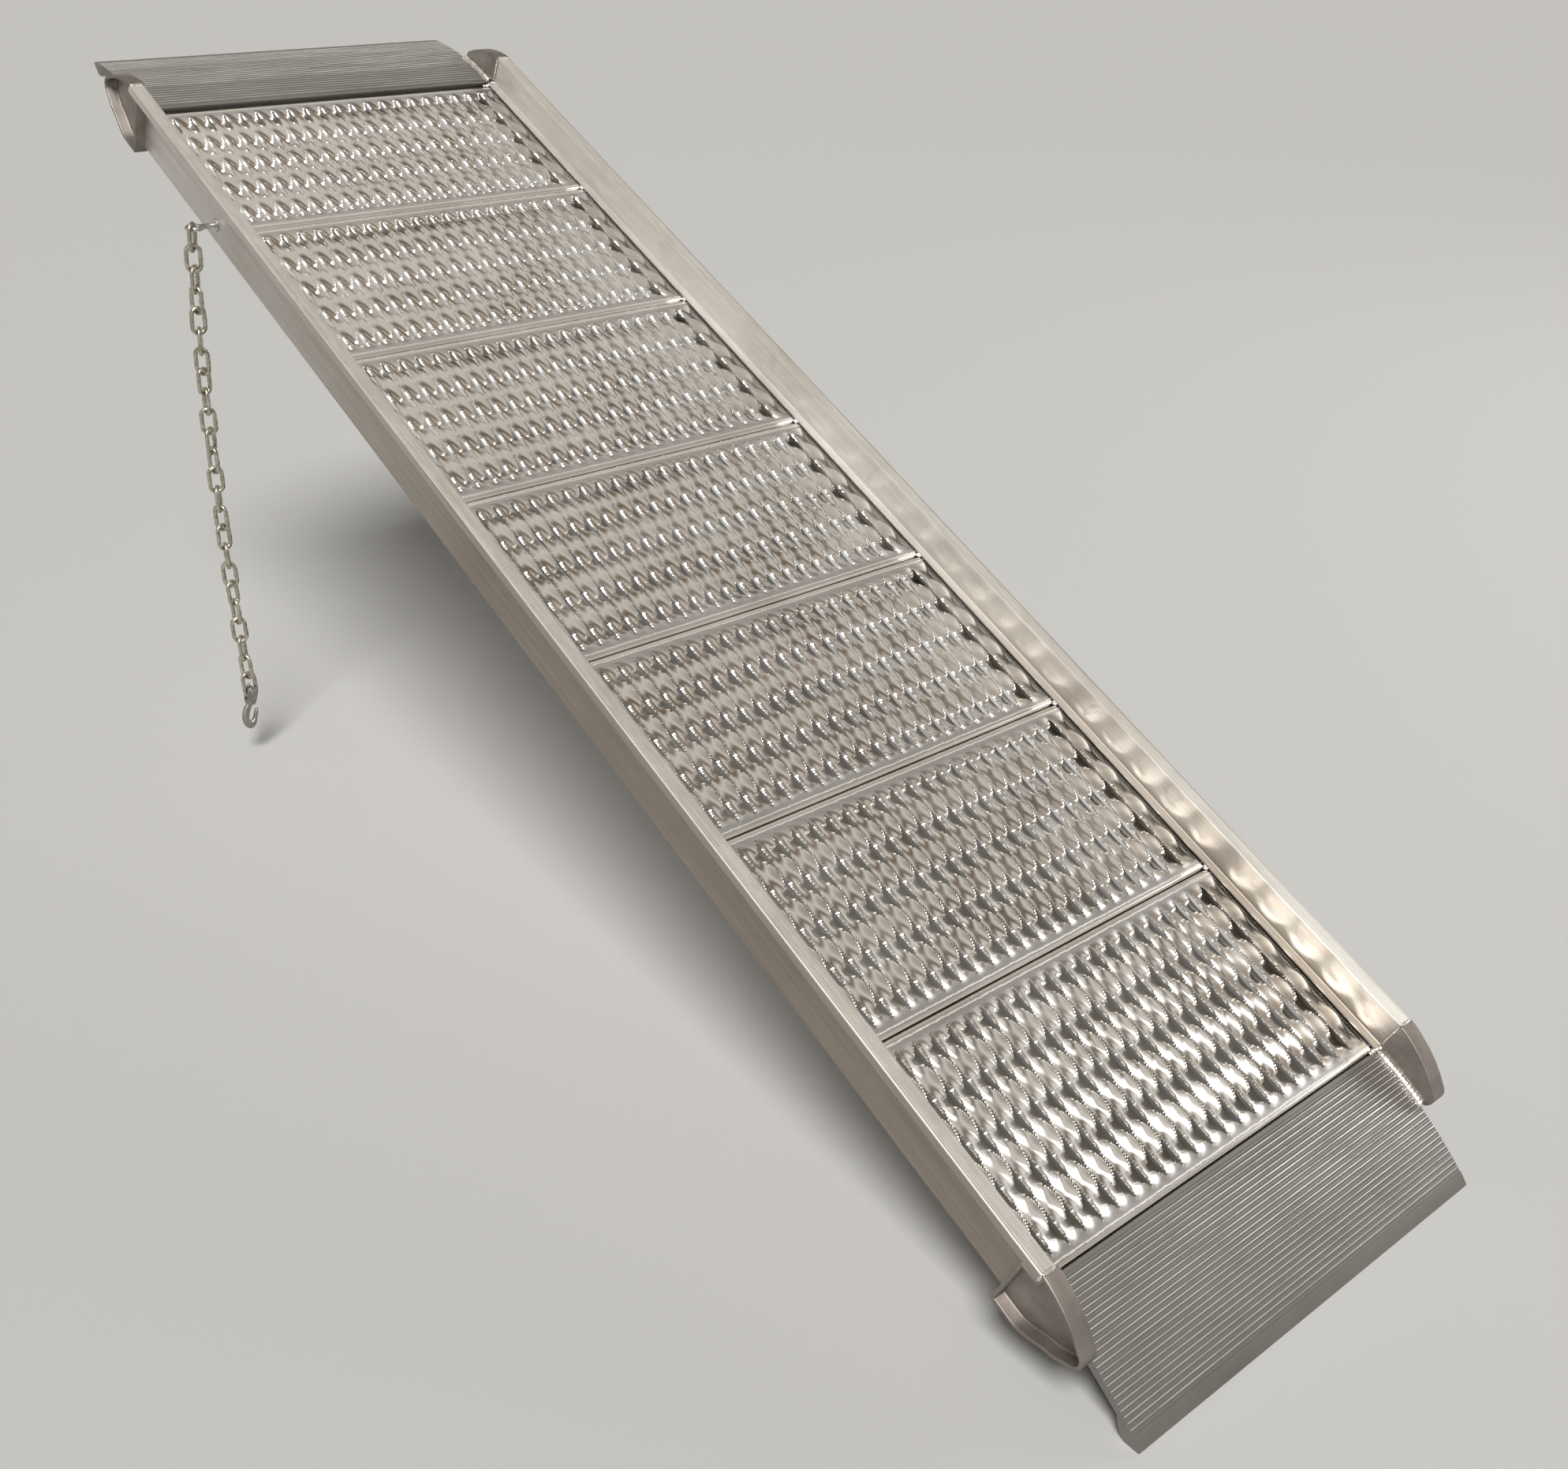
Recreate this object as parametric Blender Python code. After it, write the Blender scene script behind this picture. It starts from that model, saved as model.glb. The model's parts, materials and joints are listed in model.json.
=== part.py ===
"""A one-piece aluminium loading ramp for a pickup or trailer, standing at its working slope.

Seven punched traction planks lie across two side rails. A ribbed lip at each end is held by
a pair of cast end brackets, and a safety chain with a clevis grab hook hangs from an eye bolt
in the left rail.

Everything on the ramp is drawn flat in the ramp's own frame and tilted as a whole: u runs down
the slope from the seam of the upper lip, v runs across from the centre line, and w stands off
the deck's top sheet. The world origin is the point under the upper lip that rests on the bed.
Lengths are in millimetres until mm() turns them into metres.
"""

import math

import bmesh
import bpy
from mathutils import Matrix, Vector

# ---- driving dimensions, in millimetres and degrees ----
SLOPE = 24.0                 # working slope of the deck

PLANK_COUNT = 7
PLANK_PITCH = 300.0
PLANK_WIDTH = 298.4          # 11-3/4 in plank, leaving a 1.6 seam
PLANK_HALF_SPAN = 303.0
PLANK_SHEET = 2.5
PLANK_DEPTH = 35.0
DECK_LENGTH = PLANK_COUNT * PLANK_PITCH

RAIL_INNER = 306.5           # inner face of the web, from the centre line
RAIL_WEB = 4.5
RAIL_OUTER = 327.0           # outer edge of the top flange
RAIL_TOP = 50.0
RAIL_BOTTOM = -40.0
RAIL_SKIN = 5.0              # flange and outer lip thickness
RAIL_LIP_DROP = 13.4         # depth of the outer down-turned lip
LEDGE_REACH = 10.0           # ledge over the plank ends
LEDGE_TOP = 5.5
LEDGE_UNDER = 2.5
SHELF_REACH = 22.0           # bottom flange under the planks

LIP_HALF_SPAN = 300.0
LIP_LENGTH = 178.0
LIP_RADIUS = 423.0           # crown of the lip's top face
LIP_PLATE = 9.0
LIP_LEG_DEPTH = 28.0
LIP_LEG_WIDTH = 4.5
UPPER_LIP_RISE = 5.0         # the upper lip stands proud of plank 1
UPPER_LIP_TILT = 3.0
UPPER_LIP_SETBACK = 5.0
SEAM_GAP = 0.6

CASTING_INNER = 303.5
CASTING_WEB = 6.0
CASTING_RIM = 4.5
CASTING_BACK = 24.0          # how far the casting reaches back under the rail's flange
CASTING_NOSE = 87.0
CASTING_BOTTOM = -47.0
CASTING_NOTCH_TOP = 35.5     # top of the casting below the rail's outer lip

EYE_U = 260.0
EYE_W = -14.0
EYE_SHANK_RADIUS = 4.0
EYE_RING_RADIUS = 10.5
EYE_STANDOFF = 32.0          # web's outer face to the ring's centre
WASHER_RADIUS = 9.5
WASHER_THICKNESS = 1.8
NUT_FLATS = 12.7
NUT_THICKNESS = 6.0

LINK_COUNT = 24
LINK_WIRE = 6.6
LINK_INNER_WIDTH = 12.8
LINK_INNER_LENGTH = 31.8
LINK_PLAY = 0.5              # daylight between two links' wires
LINK_FACING = 22.0           # turn of the second link from the cross direction
FIRST_LINK_FACING = -45.0
LINK_HALF_TURNS = 8          # from the second link round to the last, which faces down the slope
CHAIN_LEAN = 9.0             # the chain bows: its top leans back and its end leans out

PIN_RADIUS = 3.5
PIN_HEAD_RADIUS = 5.6
EAR_RADIUS = 8.6
EAR_THICKNESS = 4.0
EAR_GAP = 8.4
HOOK_THICKNESS = 9.0
HOOK_TILT = 15.0
CLEARANCE = 0.3

# ---- the same, worked out ----
RAIL_WEB_FACE = RAIL_INNER + RAIL_WEB
LINK_TWIST = -(LINK_FACING + 180.0 * LINK_HALF_TURNS) / (LINK_COUNT - 2)
SIDES = {"left": -1.0, "right": 1.0}


def mm(value):
    """Millimetres to metres."""
    return value * 0.001


def lip_height(along):
    """Height of a lip's crowned top face, level with the deck at its root."""
    return -along * along / (2.0 * LIP_RADIUS)


# ---- scene, materials and small helpers ----
for old in list(bpy.data.objects):
    bpy.data.objects.remove(old, do_unlink=True)


def material(name, colour, roughness, metallic=1.0):
    """A plain metal finish."""
    made = bpy.data.materials.new(name)
    made.use_nodes = True
    shader = made.node_tree.nodes["Principled BSDF"]
    shader.inputs["Base Color"].default_value = (*colour, 1.0)
    shader.inputs["Roughness"].default_value = roughness
    shader.inputs["Metallic"].default_value = metallic
    return made


RAIL_METAL = material("rail_aluminium", (0.66, 0.63, 0.60), 0.42)
PLANK_METAL = material("plank_aluminium", (0.80, 0.79, 0.77), 0.24)
LIP_METAL = material("lip_aluminium", (0.50, 0.47, 0.44), 0.45)
CAST_METAL = material("cast_aluminium", (0.45, 0.41, 0.38), 0.58)
ZINC = material("zinc_plate", (0.52, 0.53, 0.52), 0.35)
CHAIN_STEEL = material("chain_steel", (0.42, 0.39, 0.33), 0.33)
FORGED_STEEL = material("forged_steel", (0.32, 0.31, 0.29), 0.52)


def add_object(name, data, metal, parent):
    """Put mesh or curve data in the scene as one sub-part."""
    if not data.materials:
        data.materials.append(metal)
    made = bpy.data.objects.new(name, data)
    made.parent = parent
    bpy.context.collection.objects.link(made)
    return made


def finish_mesh(shape, name):
    """Turn a bmesh into a mesh, in metres, with its faces pointing outwards."""
    bmesh.ops.recalc_face_normals(shape, faces=shape.faces)
    bmesh.ops.scale(shape, vec=(0.001, 0.001, 0.001), verts=shape.verts)
    data = bpy.data.meshes.new(name)
    shape.to_mesh(data)
    shape.free()
    return data


def prism(shape, outline, place, sweep):
    """Extrude a 2-D outline: place(a, b) gives each corner, sweep is the extrusion."""
    corners = [shape.verts.new(place(a, b)) for a, b in outline]
    face = shape.faces.new(corners)
    grown = bmesh.ops.extrude_face_region(shape, geom=[face], use_keep_orig=True)
    moved = [item for item in grown["geom"] if isinstance(item, bmesh.types.BMVert)]
    bmesh.ops.translate(shape, vec=sweep, verts=moved)
    return [item for item in grown["geom"] if isinstance(item, bmesh.types.BMFace)][0]


def arc(centre, radius, start, end, steps):
    """Points on an arc, angles in degrees."""
    points = []
    for step in range(steps + 1):
        angle = math.radians(start + (end - start) * step / steps)
        points.append((centre[0] + radius * math.cos(angle), centre[1] + radius * math.sin(angle)))
    return points


def box_data(name, low, high):
    """A box between two corners."""
    shape = bmesh.new()
    bmesh.ops.create_cube(shape, size=1.0)
    size = Vector(high) - Vector(low)
    bmesh.ops.scale(shape, vec=size, verts=shape.verts)
    bmesh.ops.translate(shape, vec=(Vector(high) + Vector(low)) / 2.0, verts=shape.verts)
    return finish_mesh(shape, name)


def rod_data(name, start, end, radius, sides=24):
    """A round bar between two points."""
    start, end = Vector(start), Vector(end)
    shape = bmesh.new()
    bmesh.ops.create_cone(shape, cap_ends=True, segments=sides, radius1=radius, radius2=radius,
                          depth=(end - start).length)
    turn = Vector((0.0, 0.0, 1.0)).rotation_difference((end - start).normalized())
    bmesh.ops.transform(shape, matrix=Matrix.Translation((start + end) / 2.0) @ turn.to_matrix().to_4x4(),
                        verts=shape.verts)
    return finish_mesh(shape, name)


def tool(name, data, parent):
    """A cutter or a piece that is welded on by a Boolean, left out of the part itself."""
    made = bpy.data.objects.new(name, data)
    made.parent = parent
    made.hide_render = True
    made.display_type = "WIRE"
    bpy.context.collection.objects.link(made)
    return made


def combine(target, other, operation):
    """Cut or join with another object."""
    boolean = target.modifiers.new(other.name, "BOOLEAN")
    boolean.operation = operation
    boolean.solver = "EXACT"
    boolean.object = other


# ---- the ramp's tilted frame ----
# The bed touches the upper lip's flat underside, half way along it.
LIP_FLAT_START = 60.0
LIP_FLAT_END = 138.0
LIP_FLAT_DROP = 13.5         # top face to underside at the start of the flat
TILT = math.radians(UPPER_LIP_TILT)


def upper_lip_point(along, height):
    """The upper lip's own profile coordinates to the ramp frame: it points up the slope."""
    u = -UPPER_LIP_SETBACK - along * math.cos(TILT) + height * math.sin(TILT)
    w = UPPER_LIP_RISE + along * math.sin(TILT) + height * math.cos(TILT)
    return u, w


def lower_lip_point(along, height):
    """The lower lip's profile coordinates to the ramp frame."""
    return DECK_LENGTH + SEAM_GAP + along, height


def lip_underside(along):
    """Height of the flat under a lip, between its start and its end."""
    start = lip_height(LIP_FLAT_START) - LIP_PLATE
    end = lip_height(LIP_FLAT_END) - LIP_PLATE
    return start + (end - start) * (along - LIP_FLAT_START) / (LIP_FLAT_END - LIP_FLAT_START)


REST_ALONG = (LIP_FLAT_START + LIP_FLAT_END) / 2.0
REST_U, REST_W = upper_lip_point(REST_ALONG, lip_underside(REST_ALONG))

TURN = Matrix.Rotation(math.radians(SLOPE), 4, "Y")
ramp = bpy.data.objects.new("ramp_frame", None)
ramp.matrix_world = TURN @ Matrix.Translation((-mm(REST_U), 0.0, -mm(REST_W)))
bpy.context.collection.objects.link(ramp)


def ramp_to_world(u, v, w):
    """A point of the ramp frame in world millimetres."""
    return TURN.to_3x3() @ Vector((u - REST_U, v, w - REST_W))


# ---- deck planks: channels folded down along both long edges ----
def plank_outline():
    """Channel section, from the upper edge's foot over the top to the lower edge's foot."""
    bend = 4.0
    inner = bend - PLANK_SHEET
    width = PLANK_WIDTH
    outer_bends = (arc((bend, -bend), bend, 180.0, 90.0, 3)
                   + arc((width - bend, -bend), bend, 90.0, 0.0, 3))
    inner_bends = (arc((width - bend, -bend), inner, 0.0, 90.0, 2)
                   + arc((bend, -bend), inner, 90.0, 180.0, 2))
    return ([(0.0, -PLANK_DEPTH)] + outer_bends + [(width, -PLANK_DEPTH)]
            + [(width - PLANK_SHEET, -PLANK_DEPTH)] + inner_bends + [(PLANK_SHEET, -PLANK_DEPTH)])


plank_shape = bmesh.new()
prism(plank_shape, plank_outline(), lambda a, b: (a, -PLANK_HALF_SPAN, b),
      (0.0, 2.0 * PLANK_HALF_SPAN, 0.0))
plank_data = finish_mesh(plank_shape, "deck_plank")
for number in range(PLANK_COUNT):
    plank = add_object(f"deck_plank_{number + 1}", plank_data, PLANK_METAL, ramp)
    plank.location.x = mm(number * PLANK_PITCH + (PLANK_PITCH - PLANK_WIDTH) / 2.0)


# ---- side rails: one extrusion each, modelled as its web, flange, ledge and shelf ----
def rail_flange_outline():
    """Section of the right rail's top flange and the lip that hangs from it."""
    edge = 3.0
    under_flange = RAIL_TOP - RAIL_SKIN
    return ([(RAIL_INNER, under_flange), (RAIL_OUTER - RAIL_SKIN, under_flange),
             (RAIL_OUTER - RAIL_SKIN, RAIL_TOP - RAIL_LIP_DROP),
             (RAIL_OUTER, RAIL_TOP - RAIL_LIP_DROP)]
            + arc((RAIL_OUTER - edge, RAIL_TOP - edge), edge, 0.0, 90.0, 3)
            + arc((RAIL_INNER + edge, RAIL_TOP - edge), edge, 90.0, 180.0, 3))


def rail_web_outline():
    """Section of the upright web, set in under the flange."""
    top = RAIL_TOP - RAIL_SKIN - CLEARANCE
    return [(RAIL_INNER, RAIL_BOTTOM), (RAIL_WEB_FACE, RAIL_BOTTOM), (RAIL_WEB_FACE, top), (RAIL_INNER, top)]


def rail_ledge_outline():
    """Section of the narrow ledge that covers the planks' ends."""
    root = RAIL_INNER - CLEARANCE
    tip = RAIL_INNER - LEDGE_REACH
    return [(root, LEDGE_UNDER), (root, LEDGE_TOP + 1.5), (root - 1.5, LEDGE_TOP), (tip + 1.0, LEDGE_TOP),
            (tip, LEDGE_TOP - 1.0), (tip, LEDGE_UNDER)]


def rail_shelf_outline():
    """Section of the shelf that carries the planks' ends from below."""
    root = RAIL_INNER - CLEARANCE
    tip = RAIL_INNER - SHELF_REACH
    return [(root, RAIL_BOTTOM), (root, RAIL_BOTTOM + RAIL_WEB), (tip, RAIL_BOTTOM + RAIL_WEB), (tip, RAIL_BOTTOM)]


# The end castings reach back under the flange, so the rest of the section stops short of them.
reach = CASTING_BACK + CLEARANCE
for word, side in SIDES.items():
    for name, outline, start in ((f"side_rail_{word}", rail_web_outline(), reach),
                                 (f"rail_flange_{word}", rail_flange_outline(), 0.0),
                                 (f"rail_ledge_{word}", rail_ledge_outline(), reach),
                                 (f"rail_shelf_{word}", rail_shelf_outline(), reach)):
        rail_shape = bmesh.new()
        prism(rail_shape, outline, lambda a, b: (start, side * a, b), (DECK_LENGTH - 2.0 * start, 0.0, 0.0))
        add_object(name, finish_mesh(rail_shape, "side_rail"), RAIL_METAL, ramp)

bolt_hole = tool("eye_bolt_hole", rod_data(
    "eye_bolt_hole", (EYE_U, -RAIL_INNER + 5.0, EYE_W), (EYE_U, -RAIL_WEB_FACE - 5.0, EYE_W),
    EYE_SHANK_RADIUS + CLEARANCE), ramp)
combine(bpy.data.objects["side_rail_left"], bolt_hole, "DIFFERENCE")


# ---- lips: crowned plates with a welding leg at the root and a thick toe ----
def lip_outline():
    """Lip section: along the top from the root to the toe and back underneath."""
    bevel_start = LIP_LENGTH - 12.0
    steps = 8
    top = [(bevel_start * step / steps, lip_height(bevel_start * step / steps))
           for step in range(steps + 1)]
    foot = math.tan(math.radians(SLOPE))
    toe_tip = lip_height(bevel_start) - 7.0
    sole_end = (LIP_LENGTH - 1.0, toe_tip - 3.2)
    sole_start = (sole_end[0] - 14.0, sole_end[1] - 14.0 * foot)
    toe = [(LIP_LENGTH, toe_tip), sole_end, sole_start,
           (sole_start[0] - 10.0, sole_start[1] + 1.5),
           (sole_start[0] - 18.0, sole_start[1] + 7.5)]
    underside = [(LIP_FLAT_END, lip_underside(LIP_FLAT_END)),
                 (LIP_FLAT_START, lip_underside(LIP_FLAT_START)),
                 (LIP_LEG_WIDTH + 6.0, -LIP_PLATE),
                 (LIP_LEG_WIDTH, -LIP_PLATE - 3.0),
                 (LIP_LEG_WIDTH, -LIP_LEG_DEPTH), (0.0, -LIP_LEG_DEPTH)]
    return top + toe + underside


for word, lip_point in (("upper", upper_lip_point), ("lower", lower_lip_point)):
    lip_shape = bmesh.new()
    section = [lip_point(along, height) for along, height in lip_outline()]
    prism(lip_shape, section, lambda a, b: (a, -LIP_HALF_SPAN, b), (0.0, 2.0 * LIP_HALF_SPAN, 0.0))
    add_object(f"{word}_lip", finish_mesh(lip_shape, "lip"), LIP_METAL, ramp)


# ---- end castings: shallow pans, open on their outer side, closing the rails' ends ----
def casting_outline():
    """Side view of a casting, reach measured outwards from the deck's end."""
    nose_centre = (CASTING_NOSE - 15.0, 4.0)
    bottom = [(-CASTING_BACK, CASTING_BOTTOM), (8.0, CASTING_BOTTOM), (18.0, CASTING_BOTTOM + 1.5),
              (32.0, CASTING_BOTTOM + 8.0), (46.0, CASTING_BOTTOM + 16.5), (58.0, CASTING_BOTTOM + 21.5)]
    nose = arc(nose_centre, 15.0, -58.0, 52.0, 6)
    top = [(66.0, 27.5), (54.0, 34.5), (38.0, 41.5), (22.0, 47.0), (10.0, 50.0), (SEAM_GAP, 51.0)]
    notch = [(SEAM_GAP, CASTING_NOTCH_TOP), (-CASTING_BACK, CASTING_NOTCH_TOP)]
    return bottom + nose + top + notch


for end, origin, direction in (("upper", 0.0, -1.0), ("lower", DECK_LENGTH, 1.0)):
    for word, side in SIDES.items():
        cast_shape = bmesh.new()
        open_face = prism(cast_shape, casting_outline(),
                          lambda a, b: (origin + direction * a, side * CASTING_INNER, b),
                          (0.0, side * (RAIL_OUTER - CASTING_INNER), 0.0))
        bmesh.ops.recalc_face_normals(cast_shape, faces=cast_shape.faces)
        bmesh.ops.inset_region(cast_shape, faces=[open_face], thickness=CASTING_RIM,
                               use_even_offset=True)
        pocket = bmesh.ops.extrude_face_region(cast_shape, geom=[open_face])
        floor = [item for item in pocket["geom"] if isinstance(item, bmesh.types.BMVert)]
        depth = RAIL_OUTER - CASTING_INNER - CASTING_WEB
        bmesh.ops.translate(cast_shape, vec=(0.0, -side * depth, 0.0), verts=floor)
        bmesh.ops.delete(cast_shape, geom=[open_face], context="FACES_ONLY")
        add_object(f"end_casting_{end}_{word}", finish_mesh(cast_shape, "end_casting"), CAST_METAL, ramp)


# ---- chain anchorage: eye bolt, washer and nut through the left rail's web ----
RING_CENTRE = Vector((EYE_U, -RAIL_WEB_FACE - EYE_STANDOFF, EYE_W))


def ring_data(name, centre, radius, wire, axis, around=24, sides=8):
    """A closed ring of round wire whose hole looks along the given axis."""
    shape = bmesh.new()
    made = bmesh.ops.create_circle(shape, cap_ends=False, segments=sides, radius=wire)
    bmesh.ops.rotate(shape, cent=(0.0, 0.0, 0.0), verts=made["verts"],
                     matrix=Matrix.Rotation(math.radians(90.0), 3, "X"))
    bmesh.ops.translate(shape, vec=(radius, 0.0, 0.0), verts=made["verts"])
    bmesh.ops.spin(shape, geom=shape.verts[:] + shape.edges[:], axis=(0.0, 0.0, 1.0),
                   cent=(0.0, 0.0, 0.0), angle=math.radians(360.0), steps=around, use_merge=True)
    turn = Vector((0.0, 0.0, 1.0)).rotation_difference(Vector(axis).normalized())
    bmesh.ops.transform(shape, matrix=Matrix.Translation(centre) @ turn.to_matrix().to_4x4(),
                        verts=shape.verts)
    return finish_mesh(shape, name)


# The ring lies level in the world, so the chain can settle anywhere on its outer side.
LEVEL = TURN.to_3x3().inverted() @ Vector((0.0, 0.0, 1.0))
shank_end = (EYE_U, -RAIL_INNER + NUT_THICKNESS + 4.0, EYE_W)
shank_start = (EYE_U, RING_CENTRE.y + EYE_RING_RADIUS - 1.0, EYE_W)
eye_bolt = add_object("eye_bolt", rod_data("eye_bolt", shank_start, shank_end, EYE_SHANK_RADIUS, 16),
                      ZINC, ramp)
eye_ring = tool("eye_ring", ring_data("eye_ring", RING_CENTRE, EYE_RING_RADIUS, EYE_SHANK_RADIUS - 0.2,
                                      LEVEL), ramp)
combine(eye_bolt, eye_ring, "UNION")


def collar_data(name, start, end, outer, sides):
    """A washer or a nut blank on the eye bolt, between two distances from the centre line."""
    return rod_data(name, (EYE_U, start, EYE_W), (EYE_U, end, EYE_W), outer, sides)


shank_hole = tool("shank_hole", collar_data(
    "shank_hole", -RAIL_WEB_FACE - 10.0, -RAIL_INNER + NUT_THICKNESS + 10.0,
    EYE_SHANK_RADIUS + CLEARANCE, 16), ramp)
washer = add_object("eye_bolt_washer", collar_data(
    "eye_bolt_washer", -RAIL_WEB_FACE - CLEARANCE - WASHER_THICKNESS, -RAIL_WEB_FACE - CLEARANCE,
    WASHER_RADIUS, 24), ZINC, ramp)
nut = add_object("eye_bolt_nut", collar_data(
    "eye_bolt_nut", -RAIL_INNER + CLEARANCE, -RAIL_INNER + CLEARANCE + NUT_THICKNESS,
    NUT_FLATS / math.sqrt(3.0), 6), ZINC, ramp)
for collar in (washer, nut):
    combine(collar, shank_hole, "DIFFERENCE")


# ---- safety chain: welded links, each turned a little less than a right angle ----
LINK_BEND = (LINK_INNER_WIDTH + LINK_WIRE) / 2.0
LINK_REACH = LINK_INNER_LENGTH + LINK_WIRE      # between the wire centres of a link's two ends


def link_data():
    """One oval link as a closed wire, upright along Z and wide along X."""
    half_leg = LINK_REACH / 2.0 - LINK_BEND
    path = (arc((0.0, half_leg), LINK_BEND, 0.0, 180.0, 6)
            + arc((0.0, -half_leg), LINK_BEND, 180.0, 360.0, 6))
    wire = bpy.data.curves.new("chain_link", "CURVE")
    wire.dimensions = "3D"
    wire.bevel_depth = mm(LINK_WIRE / 2.0)
    wire.bevel_resolution = 1
    wire.use_fill_caps = True
    spline = wire.splines.new("POLY")
    spline.points.add(len(path) - 1)
    for point, (across, height) in zip(spline.points, path):
        point.co = (mm(across), 0.0, mm(height), 1.0)
    spline.use_cyclic_u = True
    return wire


def hanging_frame(lean, facing):
    """Axes of a link: its width, its thickness and its up direction."""
    up = Vector((-math.sin(math.radians(lean)), 0.0, math.cos(math.radians(lean))))
    level = Vector((math.cos(math.radians(lean)), 0.0, math.sin(math.radians(lean))))
    turn = math.radians(facing)
    width = math.cos(turn) * Vector((0.0, 1.0, 0.0)) + math.sin(turn) * level
    return width, up.cross(width), up


def facing_of(number):
    """Turn of a link about the chain, counted from 1."""
    if number == 1:
        return FIRST_LINK_FACING
    return LINK_FACING + LINK_TWIST * (number - 2)


link_wire = link_data()
ring_centre_world = ramp_to_world(*RING_CENTRE)
first_turn = math.radians(-FIRST_LINK_FACING)
# The first link hooks over the level ring where the ring's wire runs across the link's plane.
hold = ring_centre_world + EYE_RING_RADIUS * Vector((math.sin(first_turn), -math.cos(first_turn), 0.0))
held_wire = 2.0 * (EYE_SHANK_RADIUS - 0.2)
for number in range(1, LINK_COUNT + 1):
    lean = CHAIN_LEAN * (2.0 * (number - 1) / (LINK_COUNT - 1) - 1.0)
    width, thickness, up = hanging_frame(lean, facing_of(number))
    top = hold + up * ((held_wire + LINK_WIRE) / 2.0 + LINK_PLAY)
    centre = top - up * (LINK_REACH / 2.0)
    link = add_object(f"chain_link_{number:02d}", link_wire, CHAIN_STEEL, None)
    axes = Matrix((width, thickness, up)).transposed().to_4x4()
    link.matrix_world = Matrix.Translation(centre * 0.001) @ axes
    hold = top - up * LINK_REACH
    held_wire = LINK_WIRE

# ---- clevis grab hook on its pin through the last link ----
PIN_CENTRE = hold + up * (LINK_WIRE / 2.0 + PIN_RADIUS + LINK_PLAY)
PIN_AXIS = thickness
EAR_OUTER = EAR_GAP / 2.0 + EAR_THICKNESS

# Hook coordinates: X across the hook's flat, Y along the pin, Z up the shank, origin at the pin.
hook_down = Matrix.Rotation(math.radians(HOOK_TILT), 3, PIN_AXIS) @ -up
hook_side = hook_down.cross(PIN_AXIS)
hook_frame = bpy.data.objects.new("hook_frame", None)
hook_frame.matrix_world = (Matrix.Translation(PIN_CENTRE * 0.001)
                           @ Matrix((hook_side, PIN_AXIS, -hook_down)).transposed().to_4x4())
bpy.context.collection.objects.link(hook_frame)


def hook_outline():
    """Side view of the grab hook below its clevis: back, toe, bill, throat and shank."""
    back = [(-6.0, -15.0), (-6.5, -22.0), (-9.5, -29.0), (-11.5, -37.0), (-11.0, -45.0), (-8.0, -53.0),
            (-2.0, -60.0), (4.0, -63.5)]
    bill = [(8.5, -58.0), (12.5, -48.0), (14.5, -38.0), (14.5, -29.0), (12.0, -27.5), (9.3, -30.0)]
    throat = [(7.8, -40.0)] + arc((3.9, -45.0), 3.9, 0.0, -180.0, 5) + [(-0.2, -38.0), (1.2, -30.0)]
    shank = [(3.2, -23.0), (6.0, -15.0)]
    return back + bill + throat + shank


def clevis_outline():
    """Side view of the two ears and the bridge below them."""
    ears = arc((0.0, 0.0), EAR_RADIUS, 0.0, 180.0, 8)
    return ears + [(-EAR_RADIUS, -6.0), (-6.0, -18.0), (-5.0, -21.0), (5.0, -21.0), (6.0, -18.0),
                   (EAR_RADIUS, -6.0)]


def hook_plate(name, outline, half_thickness):
    """A flat forging lying across the pin."""
    shape = bmesh.new()
    prism(shape, outline, lambda a, b: (a, -half_thickness, b), (0.0, 2.0 * half_thickness, 0.0))
    return finish_mesh(shape, name)


hook = add_object("grab_hook", hook_plate("grab_hook", clevis_outline(), EAR_OUTER), FORGED_STEEL,
                  hook_frame)
link_room = (LINK_WIRE + PIN_RADIUS + LINK_PLAY) + 3.4
combine(hook, tool("clevis_gap", box_data(
    "clevis_gap", (-15.0, -EAR_GAP / 2.0, -link_room), (15.0, EAR_GAP / 2.0, 15.0)), hook_frame),
    "DIFFERENCE")
combine(hook, tool("hook_blade", hook_plate("hook_blade", hook_outline(), HOOK_THICKNESS / 2.0),
                   hook_frame), "UNION")
combine(hook, tool("pin_hole", rod_data(
    "pin_hole", (0.0, -15.0, 0.0), (0.0, 15.0, 0.0), PIN_RADIUS + CLEARANCE, 16), hook_frame),
    "DIFFERENCE")

PIN_END = EAR_OUTER + 6.0
COTTER_PLACE = EAR_OUTER + 3.2
COTTER_WIRE = 0.9
pin = add_object("clevis_pin", rod_data(
    "clevis_pin", (0.0, -EAR_OUTER - 2.0, 0.0), (0.0, PIN_END, 0.0), PIN_RADIUS, 16), FORGED_STEEL,
    hook_frame)
combine(pin, tool("pin_head", rod_data(
    "pin_head", (0.0, -EAR_OUTER - CLEARANCE - 2.4, 0.0), (0.0, -EAR_OUTER - CLEARANCE, 0.0),
    PIN_HEAD_RADIUS, 20), hook_frame), "UNION")
combine(pin, tool("cotter_hole", rod_data(
    "cotter_hole", (0.0, COTTER_PLACE, -8.0), (0.0, COTTER_PLACE, 8.0),
    COTTER_WIRE + CLEARANCE, 12), hook_frame), "DIFFERENCE")

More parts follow.
